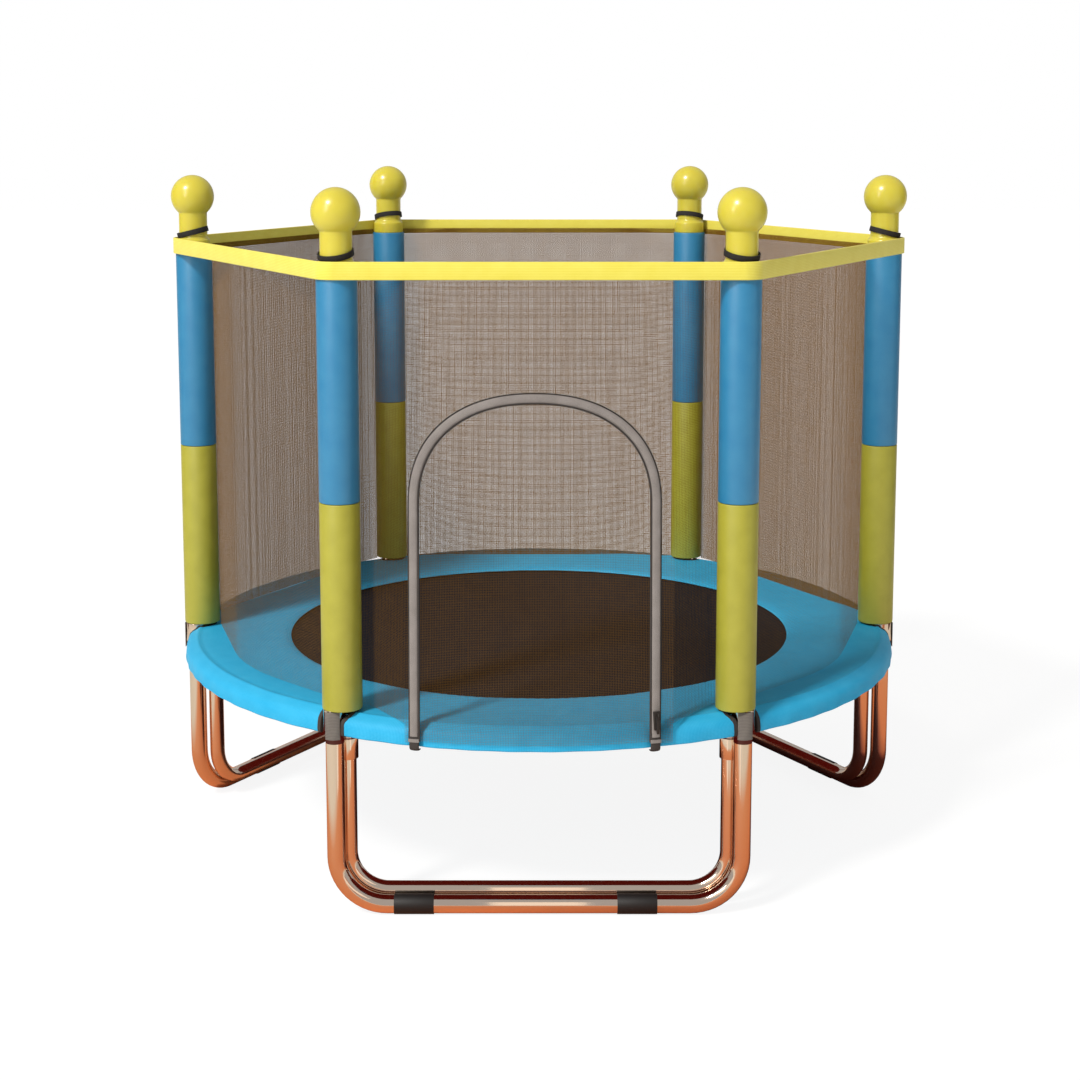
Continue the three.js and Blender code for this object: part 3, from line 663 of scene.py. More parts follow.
# %% Webbing and the band
BAND_OUT = 0.0342
BAND_FOOT, BAND_HEAD = 0.9602, 0.9865
BAND_THICK = 0.0032
corner_radius = (POST_PLANE + BAND_OUT) / math.cos(math.pi / 6)

webbing = woven("yellow_polyester_webbing", ("#dccb3a", "#ece268"), 0.0018, 0.6, 0.00025,
                sheen=0.2, warp=0.5)
band = begin(
    "band_round_posts", bpy.ops.mesh.primitive_circle_add, vertices=6, radius=corner_radius,
    location=(0, 0, BAND_FOOT), rotation=(0, 0, math.pi / 6),
)
edit(band)
bpy.ops.mesh.bevel(affect="VERTICES", offset=BAND_OUT * math.tan(math.pi / 6), segments=12)
bpy.ops.mesh.select_all(action="SELECT")
pull_out(0, 0, BAND_HEAD - BAND_FOOT)
finish_edit()
shape(band, "SOLIDIFY", thickness=BAND_THICK, offset=-1)
round_edges(band, 0.001, 3, 60)
smooth(band, 40)
wrap_uv(band, POST_CIRCLE)
dress(band, webbing, "yellow_webbing", "top_band")
print("band", [round(x, 3) for x in band.dimensions])

# %% [markdown]
# ## The surface of the net
#
# Each side of the net is sewn to the covers of its two sleeves and comes out between them to hang
# below the band. Five sides stand on top of the pad. The door's side leans out, over the pad and
# round its skirt. So each side is a ruled surface: a line at its head and a line at its foot, with
# straight threads between. One function gives its points. The net, its hems and the zip all lie
# on it. A seam's angle says where on its sleeve it is: 0 faces the next post, 90 the inside and
# -90 the outside. The far sides pass outside their posts, as the photograph shows.

# %% Net surface
NET_OUT = 0.0307
NET_FOOT, NET_ON_PAD, NET_HEAD = 0.290, 0.3166, 0.9700
NET_FOOT_CIRCLE = 0.6096
SEAM = 0.0311  # from a post's axis to the seam on its sleeve
SEAMS = {
    "front": (59, 59), "front_right": (59, 59), "back_right": (-45, -60),
    "back": (-30, -30), "back_left": (-60, -45), "front_left": (59, 59),
}
TUCK_SLOPE = math.tan(math.radians(14))  # how fast the net comes out from its seam
TUCK_KNEE = 0.040  # beside the door it does so up to this far from the post
DOOR_SIDE = 0.195  # half the width of the part of the front side that hangs over the pad


def net_ends(side):
    """Where along a side its left and right seams are."""
    left, right = (POST_HALF - SEAM * math.cos(math.radians(angle)) for angle in SEAMS[side])
    return -left, right


def lower_of(a, b, ease=0.004):
    """The smaller of two, with the corner between them eased."""
    return -ease * np.log(np.exp(-a / ease) + np.exp(-b / ease))


def net_lines(s, side):
    """How far outside the posts' axes the net's head and foot run."""
    from_post = POST_HALF - np.abs(s)
    angle = np.radians(np.where(s < 0, *SEAMS[side]))
    tucked = (from_post - SEAM * np.cos(angle)) * TUCK_SLOPE - SEAM * np.sin(angle)
    if side != "front":
        plain = lower_of(tucked, NET_OUT)
        return plain, plain
    at_seam = math.radians(SEAMS[side][0])
    knee = (TUCK_KNEE - SEAM * math.cos(at_seam)) * TUCK_SLOPE - SEAM * math.sin(at_seam)
    skirt = np.sqrt(NET_FOOT_CIRCLE**2 - s**2) - POST_PLANE
    edge = math.sqrt(NET_FOOT_CIRCLE**2 - DOOR_SIDE**2) - POST_PLANE
    past = np.clip(from_post - TUCK_KNEE, 0, None) / (POST_HALF - DOOR_SIDE - TUCK_KNEE)
    start = np.where(past > 0, knee, tucked)
    head = start + (NET_OUT - knee) * past
    foot = start + (edge - knee) * past
    return np.where(past >= 1, NET_OUT, head), np.where(past >= 1, skirt, foot)


def net_point(s, z, side="front"):
    """The surface of a side, turned to face the front, at a place s along it and a height z."""
    s, z = np.broadcast_arrays(np.asarray(s, float), np.asarray(z, float))
    head, foot = net_lines(s, side)
    rise = np.clip((z - NET_FOOT) / (NET_HEAD - NET_FOOT), 0, 1)
    return np.stack([s, -(POST_PLANE + foot + (head - foot) * rise), z], axis=-1)


def net_normal(s, z, step=0.002):
    across = net_point(s + step, z) - net_point(s - step, z)
    up = net_point(s, z + step) - net_point(s, z - step)
    out = np.cross(across, up)
    return out / np.linalg.norm(out, axis=-1, keepdims=True)


print("the front side of the net runs from", *(round(end, 3) for end in net_ends("front")))

# %% [markdown]
# ## Threads
#
# The net is a fine mesh. Drawing it as a picture with holes would look flat from the side, so
# each thread is real: a thin four-sided rod on the surface. An upright thread is straight, so it
# needs just two rings; a level one bends with the surface and needs a few dozen. The real mesh is
# finer than a pixel of the picture, so it is drawn coarser, each thread a little off its place.
# In the photograph the near sides are almost clear and the far ones dense, so they differ here.

# %% A mesh of threads
class Mesh(NamedTuple):
    pitch: float  # from thread to thread
    across: float  # half a thread's width across the sheet
    through: float  # and through it
    share: float  # the threads' own cloth in each square metre of net


DOOR_MESH = Mesh(0.0024, 0.00013, 0.00030, 0.57)
NEAR_MESH = Mesh(0.0024, 0.00014, 0.00007, 0.31)
FAR_MESH = Mesh(0.0019, 0.00047, 0.00050, 1.0)
UNEVEN = 0.04  # how far a thread strays from its place, as a share of the pitch
chance = np.random.default_rng(7)


def rods(paths, net):
    """Thin four-sided rods along many paths of points, as one list of vertices and one of faces.
    Each path is first shifted a little, by chance, within the sheet and less through it."""
    vertices, faces, start = [], [], 0
    for path in paths:
        path = path + chance.normal(0, net.pitch * UNEVEN, 3) * (1, 0.2, 1)
        ahead = np.gradient(path, axis=0)
        ahead /= np.linalg.norm(ahead, axis=1, keepdims=True)
        flat = np.cross(ahead, (0.0, -1.0, 0.0))
        flat *= net.across / np.linalg.norm(flat, axis=1, keepdims=True)
        deep = np.cross(flat, ahead) * net.through / net.across
        rings = np.stack([path + flat, path + deep, path - flat, path - deep], axis=1)
        vertices.append(rings.reshape(-1, 3))
        last = start + 4 * len(path)
        for a in range(start, last - 4, 4):
            faces += [(a + k, a + (k + 1) % 4, a + 4 + (k + 1) % 4, a + 4 + k) for k in range(4)]
        faces.append((start + 3, start + 2, start + 1, start))
        faces.append((last - 4, last - 3, last - 2, last - 1))
        start = last
    return np.concatenate(vertices), faces


def mesh_piece(name, vertices, faces):
    made = bpy.data.meshes.new(name)
    made.from_pydata([tuple(v) for v in vertices], [], faces)
    made.validate()
    thing = bpy.data.objects.new(name, made)
    bpy.context.scene.collection.objects.link(thing)
    return thing


STOP_STEP = 0.015
right_stops = np.arange(3 * STOP_STEP, POST_HALF, STOP_STEP)
STOPS = np.concatenate([-right_stops[::-1], [-STOP_STEP, STOP_STEP], right_stops])


def upright(s, foot, head, side="front"):
    return net_point(s, np.array([foot, head]), side)


def level(z, left, right, side="front"):
    """A level thread, which turns a little at each stop between its ends."""
    between = STOPS[(STOPS > left + 1e-4) & (STOPS < right - 1e-4)]
    return net_point(np.array([left, *between, right]), z, side)


def plain_paths(side, net):
    """The threads of a side without a door, which stands on top of the pad."""
    left, right = net_ends(side)
    paths = [upright(s, NET_ON_PAD, NET_HEAD, side) for s in np.arange(left, right, net.pitch)]
    return paths + [level(z, left, right, side) for z in np.arange(NET_ON_PAD, NET_HEAD, net.pitch)]


print(len(plain_paths("back", FAR_MESH)), "threads in the back side")

# %% [markdown]
# ### The net's thread
#
# Knitted polyester thread is matt and a little fluffy, so it has no highlights to speak of. Its
# brown is darker than the net looks, because most of what the eye sees there is gaps.

# %% Net thread material
net_thread, tree, shader = new_material("brown_knitted_polyester_thread")
place = add(tree, "ShaderNodeTexCoord").outputs["Object"]
fluff = add(tree, "ShaderNodeTexNoise", Vector=place, Scale=60.0, Detail=2.0)
shade = add(tree, "ShaderNodeValToRGB", Fac=fluff.outputs["Fac"])
shade.color_ramp.elements[0].color = linear("#6c4a14")
shade.color_ramp.elements[1].color = linear("#825c22")
put(tree, shader, Base_Color=shade.outputs["Color"], Roughness=0.9, Specular_IOR_Level=0.1)

# %% [markdown]
# ## The door
#
# The door is an arch: straight legs and a slightly squared top. A superellipse draws it, and the
# same curve, grown or shrunk a little, gives the edge of the net, the zip and the flap.

# %% Arch
DOOR_CENTRE = -0.006
DOOR_HALF = 0.175
DOOR_SPRING = 0.639
DOOR_RISE = 0.153
DOOR_POWER = 2.25
DOOR_LEGS = (DOOR_CENTRE - DOOR_HALF, DOOR_CENTRE + DOOR_HALF)


def arch_half_width(z, grow=0.0):
    """Half the door's width at a height, or a negative number above its top."""
    rise = np.clip((z - DOOR_SPRING) / (DOOR_RISE + grow), 0, 1)
    width = (DOOR_HALF + grow) * (1 - rise**DOOR_POWER) ** (1 / DOOR_POWER)
    return np.where(z > DOOR_SPRING + DOOR_RISE + grow, -1.0, width)


def arch_path(grow, foot, legs=40, top=90):
    """Points (s, z) along the arch, from the left foot over the top to the right foot."""
    turn = np.linspace(math.pi, 0, top)
    across, up = np.cos(turn), np.sin(turn)
    xs = np.sign(across) * np.abs(across) ** (2 / DOOR_POWER) * (DOOR_HALF + grow)
    zs = np.abs(up) ** (2 / DOOR_POWER) * (DOOR_RISE + grow) + DOOR_SPRING
    climb = np.linspace(foot, DOOR_SPRING, legs, endpoint=False)
    side = np.full(legs, DOOR_HALF + grow)
    s = np.concatenate([-side, xs, side])
    z = np.concatenate([climb, zs, climb[::-1]])
    return s + DOOR_CENTRE, z


def arch_top(s, grow):
    """The arch's height over a place along the side, or the net's foot beside the door."""
    reach = abs(s - DOOR_CENTRE) / (DOOR_HALF + grow)
    if reach >= 1:
        return NET_FOOT if abs(s) < DOOR_SIDE else NET_ON_PAD
    return DOOR_SPRING + (DOOR_RISE + grow) * (1 - reach**DOOR_POWER) ** (1 / DOOR_POWER)


NET_HEM_GROW, FLAP_HEM_GROW = 0.006, -0.008  # where the net's and the flap's threads end
FLAP_FOOT = 0.2925
columns = np.arange(*net_ends("front"), DOOR_MESH.pitch)
front_paths = [upright(s, arch_top(s, NET_HEM_GROW), NET_HEAD) for s in columns]
flap_paths = [upright(s, FLAP_FOOT, arch_top(s, FLAP_HEM_GROW)) for s in columns
              if abs(s - DOOR_CENTRE) < DOOR_HALF + FLAP_HEM_GROW]
for z in np.arange(NET_FOOT, NET_HEAD, DOOR_MESH.pitch):
    opening = float(arch_half_width(z, NET_HEM_GROW))
    filling = float(arch_half_width(z, FLAP_HEM_GROW))
    left, right = net_ends("front") if z > NET_ON_PAD else (-DOOR_SIDE, DOOR_SIDE)
    if opening > 0:
        front_paths.append(level(z, left, DOOR_CENTRE - opening))
        front_paths.append(level(z, DOOR_CENTRE + opening, right))
    else:
        front_paths.append(level(z, left, right))
    if filling > 0 and z > FLAP_FOOT:
        flap_paths.append(level(z, DOOR_CENTRE - filling, DOOR_CENTRE + filling))
print(len(front_paths), "threads in the front side,", len(flap_paths), "in the flap")

# %% [markdown]
# ### Six sides and a flap
#
# Each side is made in front and turned to its place.


for i, name in enumerate(SEAMS):
    left, right = net_ends(name)
    if name == "front":
        net, paths, flat_side = DOOR_MESH, front_paths, (right - left, NET_HEAD - NET_FOOT)
    else:
        net = FAR_MESH if "back" in name else NEAR_MESH
        paths, flat_side = plain_paths(name, net), (right - left, NET_HEAD - NET_ON_PAD)
    facing_front = mesh_piece("net_side", *rods(paths, net))
    side = copy_turned(facing_front, f"net_wall_{name}", 60 * i)
    bpy.data.objects.remove(facing_front)
    dress(side, net_thread, "net_mesh", f"net_{name}")

flap = mesh_piece("door_net", *rods(flap_paths, DOOR_MESH))
dress(flap, net_thread, "net_mesh", "door_flap", body="door")
print("net sides and flap")

# %% [markdown]
# ## Strips on the net
#
# The zip's tape, the hems and the straps are flat strips that lie on the net. A strip is swept:
# its small outline is carried along a path, turned so that its back stays on the surface. A UV
# map in metres goes with it, so that teeth and ribs run across it at their real spacing.

# %% Sweeping an outline along the net
SEAM_STEP = 0.001  # the UV map's step over an outline's last edge
STRIP_EDGE = 0.0003  # how thick a strip is at its edges


def sweep(name, points, outward, outline):
    """Carries an outline of (across, out) pairs along points. outward is the surface's normal.
    Its UV map runs along the points and round the outline, in metres."""
    ahead = np.gradient(points, axis=0)
    ahead /= np.linalg.norm(ahead, axis=1, keepdims=True)
    across = np.cross(ahead, outward)
    across /= np.linalg.norm(across, axis=1, keepdims=True)
    out = np.cross(across, ahead)
    around = np.array(outline)
    rings = (points[:, None] + around[None, :, :1] * across[:, None]
             + around[None, :, 1:] * out[:, None])
    count, sides = len(points), len(around)
    faces = []
    for i in range(count - 1):
        for k in range(sides):
            a, b = i * sides + k, i * sides + (k + 1) % sides
            faces.append((a, a + sides, b + sides, b))
    faces.append(tuple(range(sides)))
    faces.append(tuple(reversed(range((count - 1) * sides, count * sides))))
    thing = mesh_piece(name, rings.reshape(-1, 3), faces)
    run = np.concatenate([[0], np.cumsum(np.linalg.norm(np.diff(points, axis=0), axis=1))])
    girth = np.concatenate([[0], np.cumsum(np.linalg.norm(np.diff(around, axis=0), axis=1))])
    layer = cloth_map(thing)
    for face in thing.data.polygons:
        rows = [thing.data.loops[c].vertex_index for c in face.loop_indices]
        wraps = {row % sides for row in rows} == {0, sides - 1} and len(rows) == 4
        for corner, row in zip(face.loop_indices, rows):
            column = row % sides
            width = girth[-1] + SEAM_STEP if wraps and column == 0 else girth[column]
            layer.data[corner].uv = (run[row // sides], width)
    edit(thing)
    finish_edit()
    smooth(thing, 45)
    return thing


def rounded(half_width, height, rim=6):
    """The outline of a strip with a flat back and a rounded face."""
    turn = np.linspace(0, math.pi, 2 * rim + 1)
    face = [(half_width * math.cos(t), STRIP_EDGE + height * math.sin(t) ** 0.7) for t in turn]
    return [(half_width, 0.0), *face, (-half_width, 0.0)]


def on_net(s, z, lift):
    """Points above the front side's surface by lift."""
    return net_point(s, z) + lift * net_normal(s, z)


# %% [markdown]
# ### Tape and hems
#
# The zip's tape runs along the arch, grey and ribbed across by its teeth. The net and the flap
# each end in a narrow dark binding beside it.

# %% Zip tape and hems
tape_grey = woven("grey_zip_tape", ("#6f6864", "#a39a95"), 0.0016, 0.65, 0.0004, warp=3.0)
dark_hem = woven("dark_bias_binding", ("#2b2624", "#443d39"), 0.0015, 0.8, 0.0002)
TAPE_FOOT = 0.300


def along_arch(name, grow, foot, lift, outline):
    s, z = arch_path(grow, foot)
    return sweep(name, on_net(s, z, lift), net_normal(s, z), outline)


tape = along_arch("zip_arch", 0.0, TAPE_FOOT, 0.0012, rounded(0.0062, 0.0034))
dress(tape, tape_grey, "zip_tape_grey", "zip_tape")
flap_hem = along_arch("door_hem", -0.0072, FLAP_FOOT, 0.0006, rounded(0.0016, 0.0016, 3))
dress(flap_hem, dark_hem, "net_mesh", body="door")
net_hem = along_arch("net_hem", 0.007, FLAP_FOOT, 0.0004, rounded(0.0012, 0.0012, 3))
dress(net_hem, dark_hem, "net_mesh")
print("zip tape and hems")

# %% [markdown]
# ## Straps under the skirt
#
# Each end of the zip's tape is sewn to a short dark strap that runs down over the pad's skirt
# and hooks under it, with a keeper across.

# %% Straps
STRAP_TOP, STRAP_FOOT = 0.306, 0.284
STRAP_BEND = 0.004  # the radius of its turn under the skirt
STRAP_BACK = 0.004  # and how far it then goes inwards
KEEPER_TOP, KEEPER_FOOT = 0.2965, 0.2915
DOWN = np.array((0, 0, -1))


def strap(name, centre):
    s = np.full(14, centre)
    z = np.linspace(STRAP_TOP, STRAP_FOOT, 14)
    down, out = on_net(s, z, 0.0012), net_normal(s, z)
    middle = down[-1] - STRAP_BEND * out[-1]
    quarter = np.linspace(0, math.pi / 2, 8)[1:]
    bend_out = [math.cos(t) * out[-1] + math.sin(t) * DOWN for t in quarter]
    bend = [middle + STRAP_BEND * outward for outward in bend_out]
    back = bend[-1] - STRAP_BACK * out[-1]
    points = np.array([*down, *bend, back])
    normals = np.array([*out, *bend_out, bend_out[-1]])
    return sweep(name, points, normals, rounded(0.0075, 0.0022, 4))


for name, centre in zip(("left", "right"), DOOR_LEGS):
    dress(strap(f"strap_{name}", centre), dark_hem, "zip_tape_grey")
    s, z = np.full(6, centre), np.linspace(KEEPER_TOP, KEEPER_FOOT, 6)
    keeper = sweep(
        f"keeper_{name}", on_net(s, z, 0.0030), net_normal(s, z), rounded(0.0082, 0.0014, 3)
    )
    dress(keeper, tape_grey, "zip_tape_grey")
print("two straps with keepers")

# %% [markdown]
# ## The zip slider
#
# The slider is a small die-cast body with a bridge, and its pull hangs from the bridge. A cube is
# narrowed at its foot, where the teeth come in, and bevelled all round.

# %% Zinc, slider and pull
zip_metal, tree, shader = new_material("dark_coated_zinc_casting")
place = add(tree, "ShaderNodeTexCoord").outputs["Object"]
grain = add(tree, "ShaderNodeTexNoise", Vector=place, Scale=700.0, Detail=2.0)
rough = add(tree, "ShaderNodeMapRange", Value=grain.outputs["Fac"], To_Min=0.35, To_Max=0.55)
put(tree, shader, Base_Color=linear("#3a3634"), Metallic=0.6, Roughness=rough.outputs["Result"])

SLIDER_FOOT = 0.311
SLIDER_SIZE = (0.0118, 0.004, 0.028)
SLIDER_LIFT = 0.0050  # from the net to the slider's middle
PULL_SIZE = (0.006, 0.0016, 0.026)
NARROW = 0.7  # both get narrower towards their feet

foot_s, foot_z = np.array(DOOR_LEGS[1]), np.array(SLIDER_FOOT)
base = Vector(net_point(foot_s, foot_z))
out = Vector(net_normal(foot_s, foot_z))
up = (Vector(net_point(foot_s, foot_z + 0.03)) - base).normalized()
across = up.cross(-out).normalized()
upright_axes = Matrix((across, -out, up)).transposed().to_4x4()
slider_frame = Matrix.Translation(base + SLIDER_LIFT * out) @ upright_axes


def casting(name, size, place, below, bevel, segments):
    """A small block, narrowed where it is lower than below, with its edges bevelled."""
    made = begin(name, bpy.ops.mesh.primitive_cube_add, size=1, location=place, scale=size)
    edit(made)
    pick("VERT", lambda at, normal: at.z < below)
    bpy.ops.transform.resize(value=(NARROW, 1, 1), center_override=(0, 0, 0))
    bpy.ops.object.mode_set(mode="OBJECT")
    round_edges(made, bevel, segments)
    return made


slider = casting("zip_runner", SLIDER_SIZE, (0, -0.002, SLIDER_SIZE[2] / 2), 0.001, 0.0012, 3)
bridge = begin(
    "bridge", bpy.ops.mesh.primitive_torus_add, major_radius=0.0042, minor_radius=0.001,
    major_segments=24, minor_segments=10, location=(0, -0.0055, 0.0215),
    rotation=(0, math.pi / 2, 0),
)
only(bridge, slider)
bpy.ops.object.join()
pull = casting("zip_tab", PULL_SIZE, (0, -0.0072, 0.0085), 0, 0.0006, 2)
for thing, node, body in ((slider, "zip_slider", "slider"), (pull, "zip_pull", "pull")):
    smooth(thing)
    thing.data.transform(slider_frame)
    dress(thing, zip_metal, "zip_metal", node, body=body)
print("slider at", [round(x, 3) for x in base])

# %% [markdown]
# ## The jumping mat
#
# The mat is a disc of tightly woven black polypropylene with a hem turned under and sewn down.
# Its edge hides below the pad, except for a row of stitches that shows just inside it.

# %% Mat
def flat_uv(thing):
    """A UV map in metres, seen from above."""
    layer = cloth_map(thing)
    for loop_index, corner in enumerate(thing.data.loops):
        at = thing.data.vertices[corner.vertex_index].co
        layer.data[loop_index].uv = (at.x, at.y)


mat_weave = woven("black_woven_polypropylene_mat", ("#1c1e26", "#26272e"), 0.003, 0.8, 0.0002,
                  shine=0.05)
MAT_RADIUS = 0.455
MAT_TOP, MAT_THICK = 0.306, 0.003
MAT_RINGS = (0.018, 0.0200, 0.0016, 0.03)  # from the rim in: hem, plain, stitches, plain
STITCHES = (0.4145, 0.4178)  # the radii between which the stitches lie
STITCH_DEPTH = 0.0008
mat = begin(
    "jumping_mat", bpy.ops.mesh.primitive_circle_add, vertices=128, radius=MAT_RADIUS,
    fill_type="NGON", location=(0, 0, MAT_TOP),
)
edit(mat)
for ring in MAT_RINGS:
    bpy.ops.mesh.inset(thickness=ring)
pick("VERT", lambda at, normal: STITCHES[0] < at.xy.length < STITCHES[1])
bpy.ops.transform.translate(value=(0, 0, -STITCH_DEPTH))
bpy.ops.object.mode_set(mode="OBJECT")
shape(mat, "SOLIDIFY", thickness=MAT_THICK, offset=-1)
round_edges(mat, 0.0008, 2, 60)
smooth(mat, 30)
flat_uv(mat)
dress(mat, mat_weave, "mat_weave", "bounce_mat", body="mat")
print("mat", [round(x, 3) for x in mat.dimensions])

# %% [markdown]
# ## Elastic lacing
#
# One elastic cord zigzags between the mat's hem and the hooks on the ring. Each V of it is a
# piece of its own.

# %% Lacing
LACE_TURNS = 3 * HOOKS_IN_ARC
LACE_CORD = 0.0024
LACE_IN, LACE_OUT = 0.4605, HOOK_CIRCLE
LACE_BEND = 5  # points from one corner of a V to the next


def lace(turn):
    """One V of the cord round the hook at the angle turn, in radians."""
    half = math.pi / LACE_TURNS
    right_half = [  # angle, radius and height: over the hook, past it, and at the hem
        (0, LACE_OUT, 0.2982), (half * 0.16, LACE_OUT - 0.004, 0.2985),
        (half * 0.86, LACE_IN + 0.003, 0.3035), (half, LACE_IN, 0.3035),
    ]
    spots = [(-a, r, z) for a, r, z in right_half[:0:-1]] + right_half
    path = []
    for (a0, r0, z0), (a1, r1, z1) in zip(spots, spots[1:]):
        for t in np.linspace(0, 1, LACE_BEND, endpoint=False):
            a, r = turn + a0 + (a1 - a0) * t, r0 + (r1 - r0) * t
            path.append((r * math.cos(a), r * math.sin(a), z0 + (z1 - z0) * t))
    a, r, z = spots[-1]
    path.append((r * math.cos(turn + a), r * math.sin(turn + a), z))
    return np.array(path)


round_cord = [
    (LACE_CORD * math.cos(t), LACE_CORD * math.sin(t)) for t in np.linspace(0, math.tau, 11)[:-1]
]
for i in range(LACE_TURNS):
    turn = math.tau * (i + 0.5) / LACE_TURNS
    path = lace(turn)
    upwards = np.tile((0.0, 0.0, 1.0), (len(path), 1))
    cord = sweep(f"lace_{i + 1:02d}", path, upwards, round_cord)
    cord.data.materials.append(elastic)
    if i == 0:
        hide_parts("elastic_lacing")
    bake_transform(cord)
print(LACE_TURNS, "turns of elastic cord")

# %% [markdown]
# ## The ring pad
#
# The pad is foam in a sewn cover of coated cloth: thin at its inner edge, full over the ring, and
# rolled down outside as a skirt. Its cross-section is swept round the middle, and small waves are
# added where real cloth has them: puckers at the seams, and dents where the straps pull.

# %% Pad
PAD_IN, PAD_OUT = 0.428, 0.6045
PAD_FOOT, PAD_CROWN = 0.283, 0.3165
PAD_TURNS = 720
SWELL, PUCKER, SKIRT_WAVE = 0.0004, 0.00025, 0.0007  # the heights of the waves in the cloth
DENT_WIDTH, DENT_DOWN, DENT_IN = 0.011, 0.0018, 0.0016  # under the straps
pad_section = [  # radius and height: from the inner edge's lower side outwards, and over the top
    (PAD_IN + 0.012, 0.3075), (PAD_IN + 0.06, 0.3080), (PAD_OUT - 0.018, 0.3030),
    (PAD_OUT - 0.009, 0.2990), (PAD_OUT - 0.0058, PAD_FOOT + 0.003), (PAD_OUT - 0.0045, PAD_FOOT),
    (PAD_OUT - 0.0020, PAD_FOOT - 0.0006), (PAD_OUT + 0.0003, PAD_FOOT + 0.0012),
    (PAD_OUT + 0.0008, PAD_FOOT + 0.006), (PAD_OUT, PAD_CROWN - 0.018),
    (PAD_OUT - 0.0018, PAD_CROWN - 0.012), (PAD_OUT - 0.0062, PAD_CROWN - 0.0068),
    (PAD_OUT - 0.0125, PAD_CROWN - 0.0034), (PAD_OUT - 0.0160, PAD_CROWN - 0.0012),
    (PAD_OUT - 0.0185, PAD_CROWN + 0.0004), (PAD_OUT - 0.0210, PAD_CROWN + 0.0002),
    (PAD_OUT - 0.0240, PAD_CROWN - 0.0008), (PAD_OUT - 0.0300, PAD_CROWN - 0.0004),
    (PAD_OUT - 0.0400, PAD_CROWN), (PAD_OUT - 0.0600, 0.3155), (PAD_IN + 0.095, 0.3148),
    (PAD_IN + 0.07, 0.3146), (PAD_IN + 0.045, 0.3143), (PAD_IN + 0.025, 0.3138),
    (PAD_IN + 0.014, 0.3132), (PAD_IN + 0.009, 0.3124), (PAD_IN + 0.005, 0.3112),
    (PAD_IN + 0.0020, 0.3101), (PAD_IN, 0.3088), (PAD_IN + 0.001, 0.3078), (PAD_IN + 0.005, 0.3074),
]


def pad_surface():
    """The pad's points, one row for each step round the middle."""
    turn = np.linspace(0, math.tau, PAD_TURNS, endpoint=False)[:, None]
    r = np.array([p[0] for p in pad_section])[None, :] + 0 * turn
    z = np.array([p[1] for p in pad_section])[None, :] + 0 * turn
    upper = np.array([p[1] > 0.3095 and p[0] < PAD_OUT for p in pad_section], float)[None, :]
    outer = np.clip((r - 0.56) / 0.03, 0, 1)
    swell = (np.sin(5 * turn + 1.3) + 0.7 * np.sin(11 * turn + 0.4)
             + 0.5 * np.sin(23 * turn + 2.1)) * SWELL
    at_seam = np.exp(-((r - PAD_IN - 0.009) / 0.006) ** 2)
    pucker = np.sin(180 * turn + 0.8 * np.sin(17 * turn)) * PUCKER * at_seam
    at_skirt = np.clip((0.300 - z) / 0.012, 0, 1)
    skirt = np.sin(61 * turn + 1.1 * np.sin(7 * turn)) * SKIRT_WAVE * at_skirt
    dents = 0 * turn
    for x in DOOR_LEGS:
        at = math.atan2(-math.sqrt(PAD_OUT**2 - x**2), x) % math.tau
        dents = dents + np.exp(-(((turn - at) * PAD_OUT / DENT_WIDTH) ** 2))
    z = z + upper * (swell + pucker) - upper * outer * dents * DENT_DOWN
    r = r + skirt - outer * dents * DENT_IN
    return np.stack([r * np.cos(turn), r * np.sin(turn), z], axis=-1)


sides = len(pad_section)
pad_faces = []
for i in range(PAD_TURNS):
    here, there = i * sides, (i + 1) % PAD_TURNS * sides
    for k in range(sides):
        beside = (k + 1) % sides
        pad_faces.append((here + k, there + k, there + beside, here + beside))
pad = mesh_piece("ring_cushion", pad_surface().reshape(-1, 3), pad_faces)
edit(pad)
finish_edit()
print("pad", [round(x, 3) for x in pad.dimensions], len(pad.data.polygons), "faces")

# %% [markdown]
# ## Notches with black binding
#
# At each post the pad has a keyhole notch: a round hole for the post and a slot out through the
# skirt. A boolean cuts it. The black binding on the notch's edge is the same pad cut by a wider
# keyhole and kept only inside that, then swollen by a thread's thickness.

# %% Cutting the notches
KEY_FOOT, KEY_HEAD = 0.26, 0.34
KEY_MIDDLE, KEY_HEIGHT = (KEY_FOOT + KEY_HEAD) / 2, KEY_HEAD - KEY_FOOT


def keyhole(side, radius):
    """A keyhole prism: round the leg's arm and the post's axis, and straight outwards."""
    arm = Vector((side * OUTER_LEG["half"], -OUTER_LEG["plane"], 0))
    axis = Vector((side * POST_HALF, -POST_PLANE, 0))
    rounds = [
        begin("round", bpy.ops.mesh.primitive_cylinder_add, vertices=36, radius=radius,
              depth=KEY_HEIGHT, location=(*centre.xy, KEY_MIDDLE))
        for centre in (arm, axis)
    ]
    away = math.atan2(arm.y, arm.x)
    slot_middle = arm + 0.03 * Vector((math.cos(away), math.sin(away), 0))
    slot = begin(
        "slot", bpy.ops.mesh.primitive_cube_add, size=1, location=(*slot_middle.xy, KEY_MIDDLE),
        rotation=(0, 0, away), scale=(0.06, 2 * radius * 0.985, KEY_HEIGHT * 0.98),
    )
    base = rounds[0]
    for other in (rounds[1], slot):
        shape(base, "BOOLEAN", operation="UNION", object=other, solver="EXACT")
        bpy.data.objects.remove(other)
    return base


def keyholes(name, radius):
    """Keyholes for all six posts as one mesh."""
    firsts = [keyhole(side, radius) for side in (-1, 1)]
    ring = [copy_turned(first, "key", degrees) for first in firsts for _, degrees in THIRDS]
    for first in firsts:
        bpy.data.objects.remove(first)
    only(*ring)
    bpy.ops.object.join()
    bpy.context.object.name = name
    return bpy.context.object


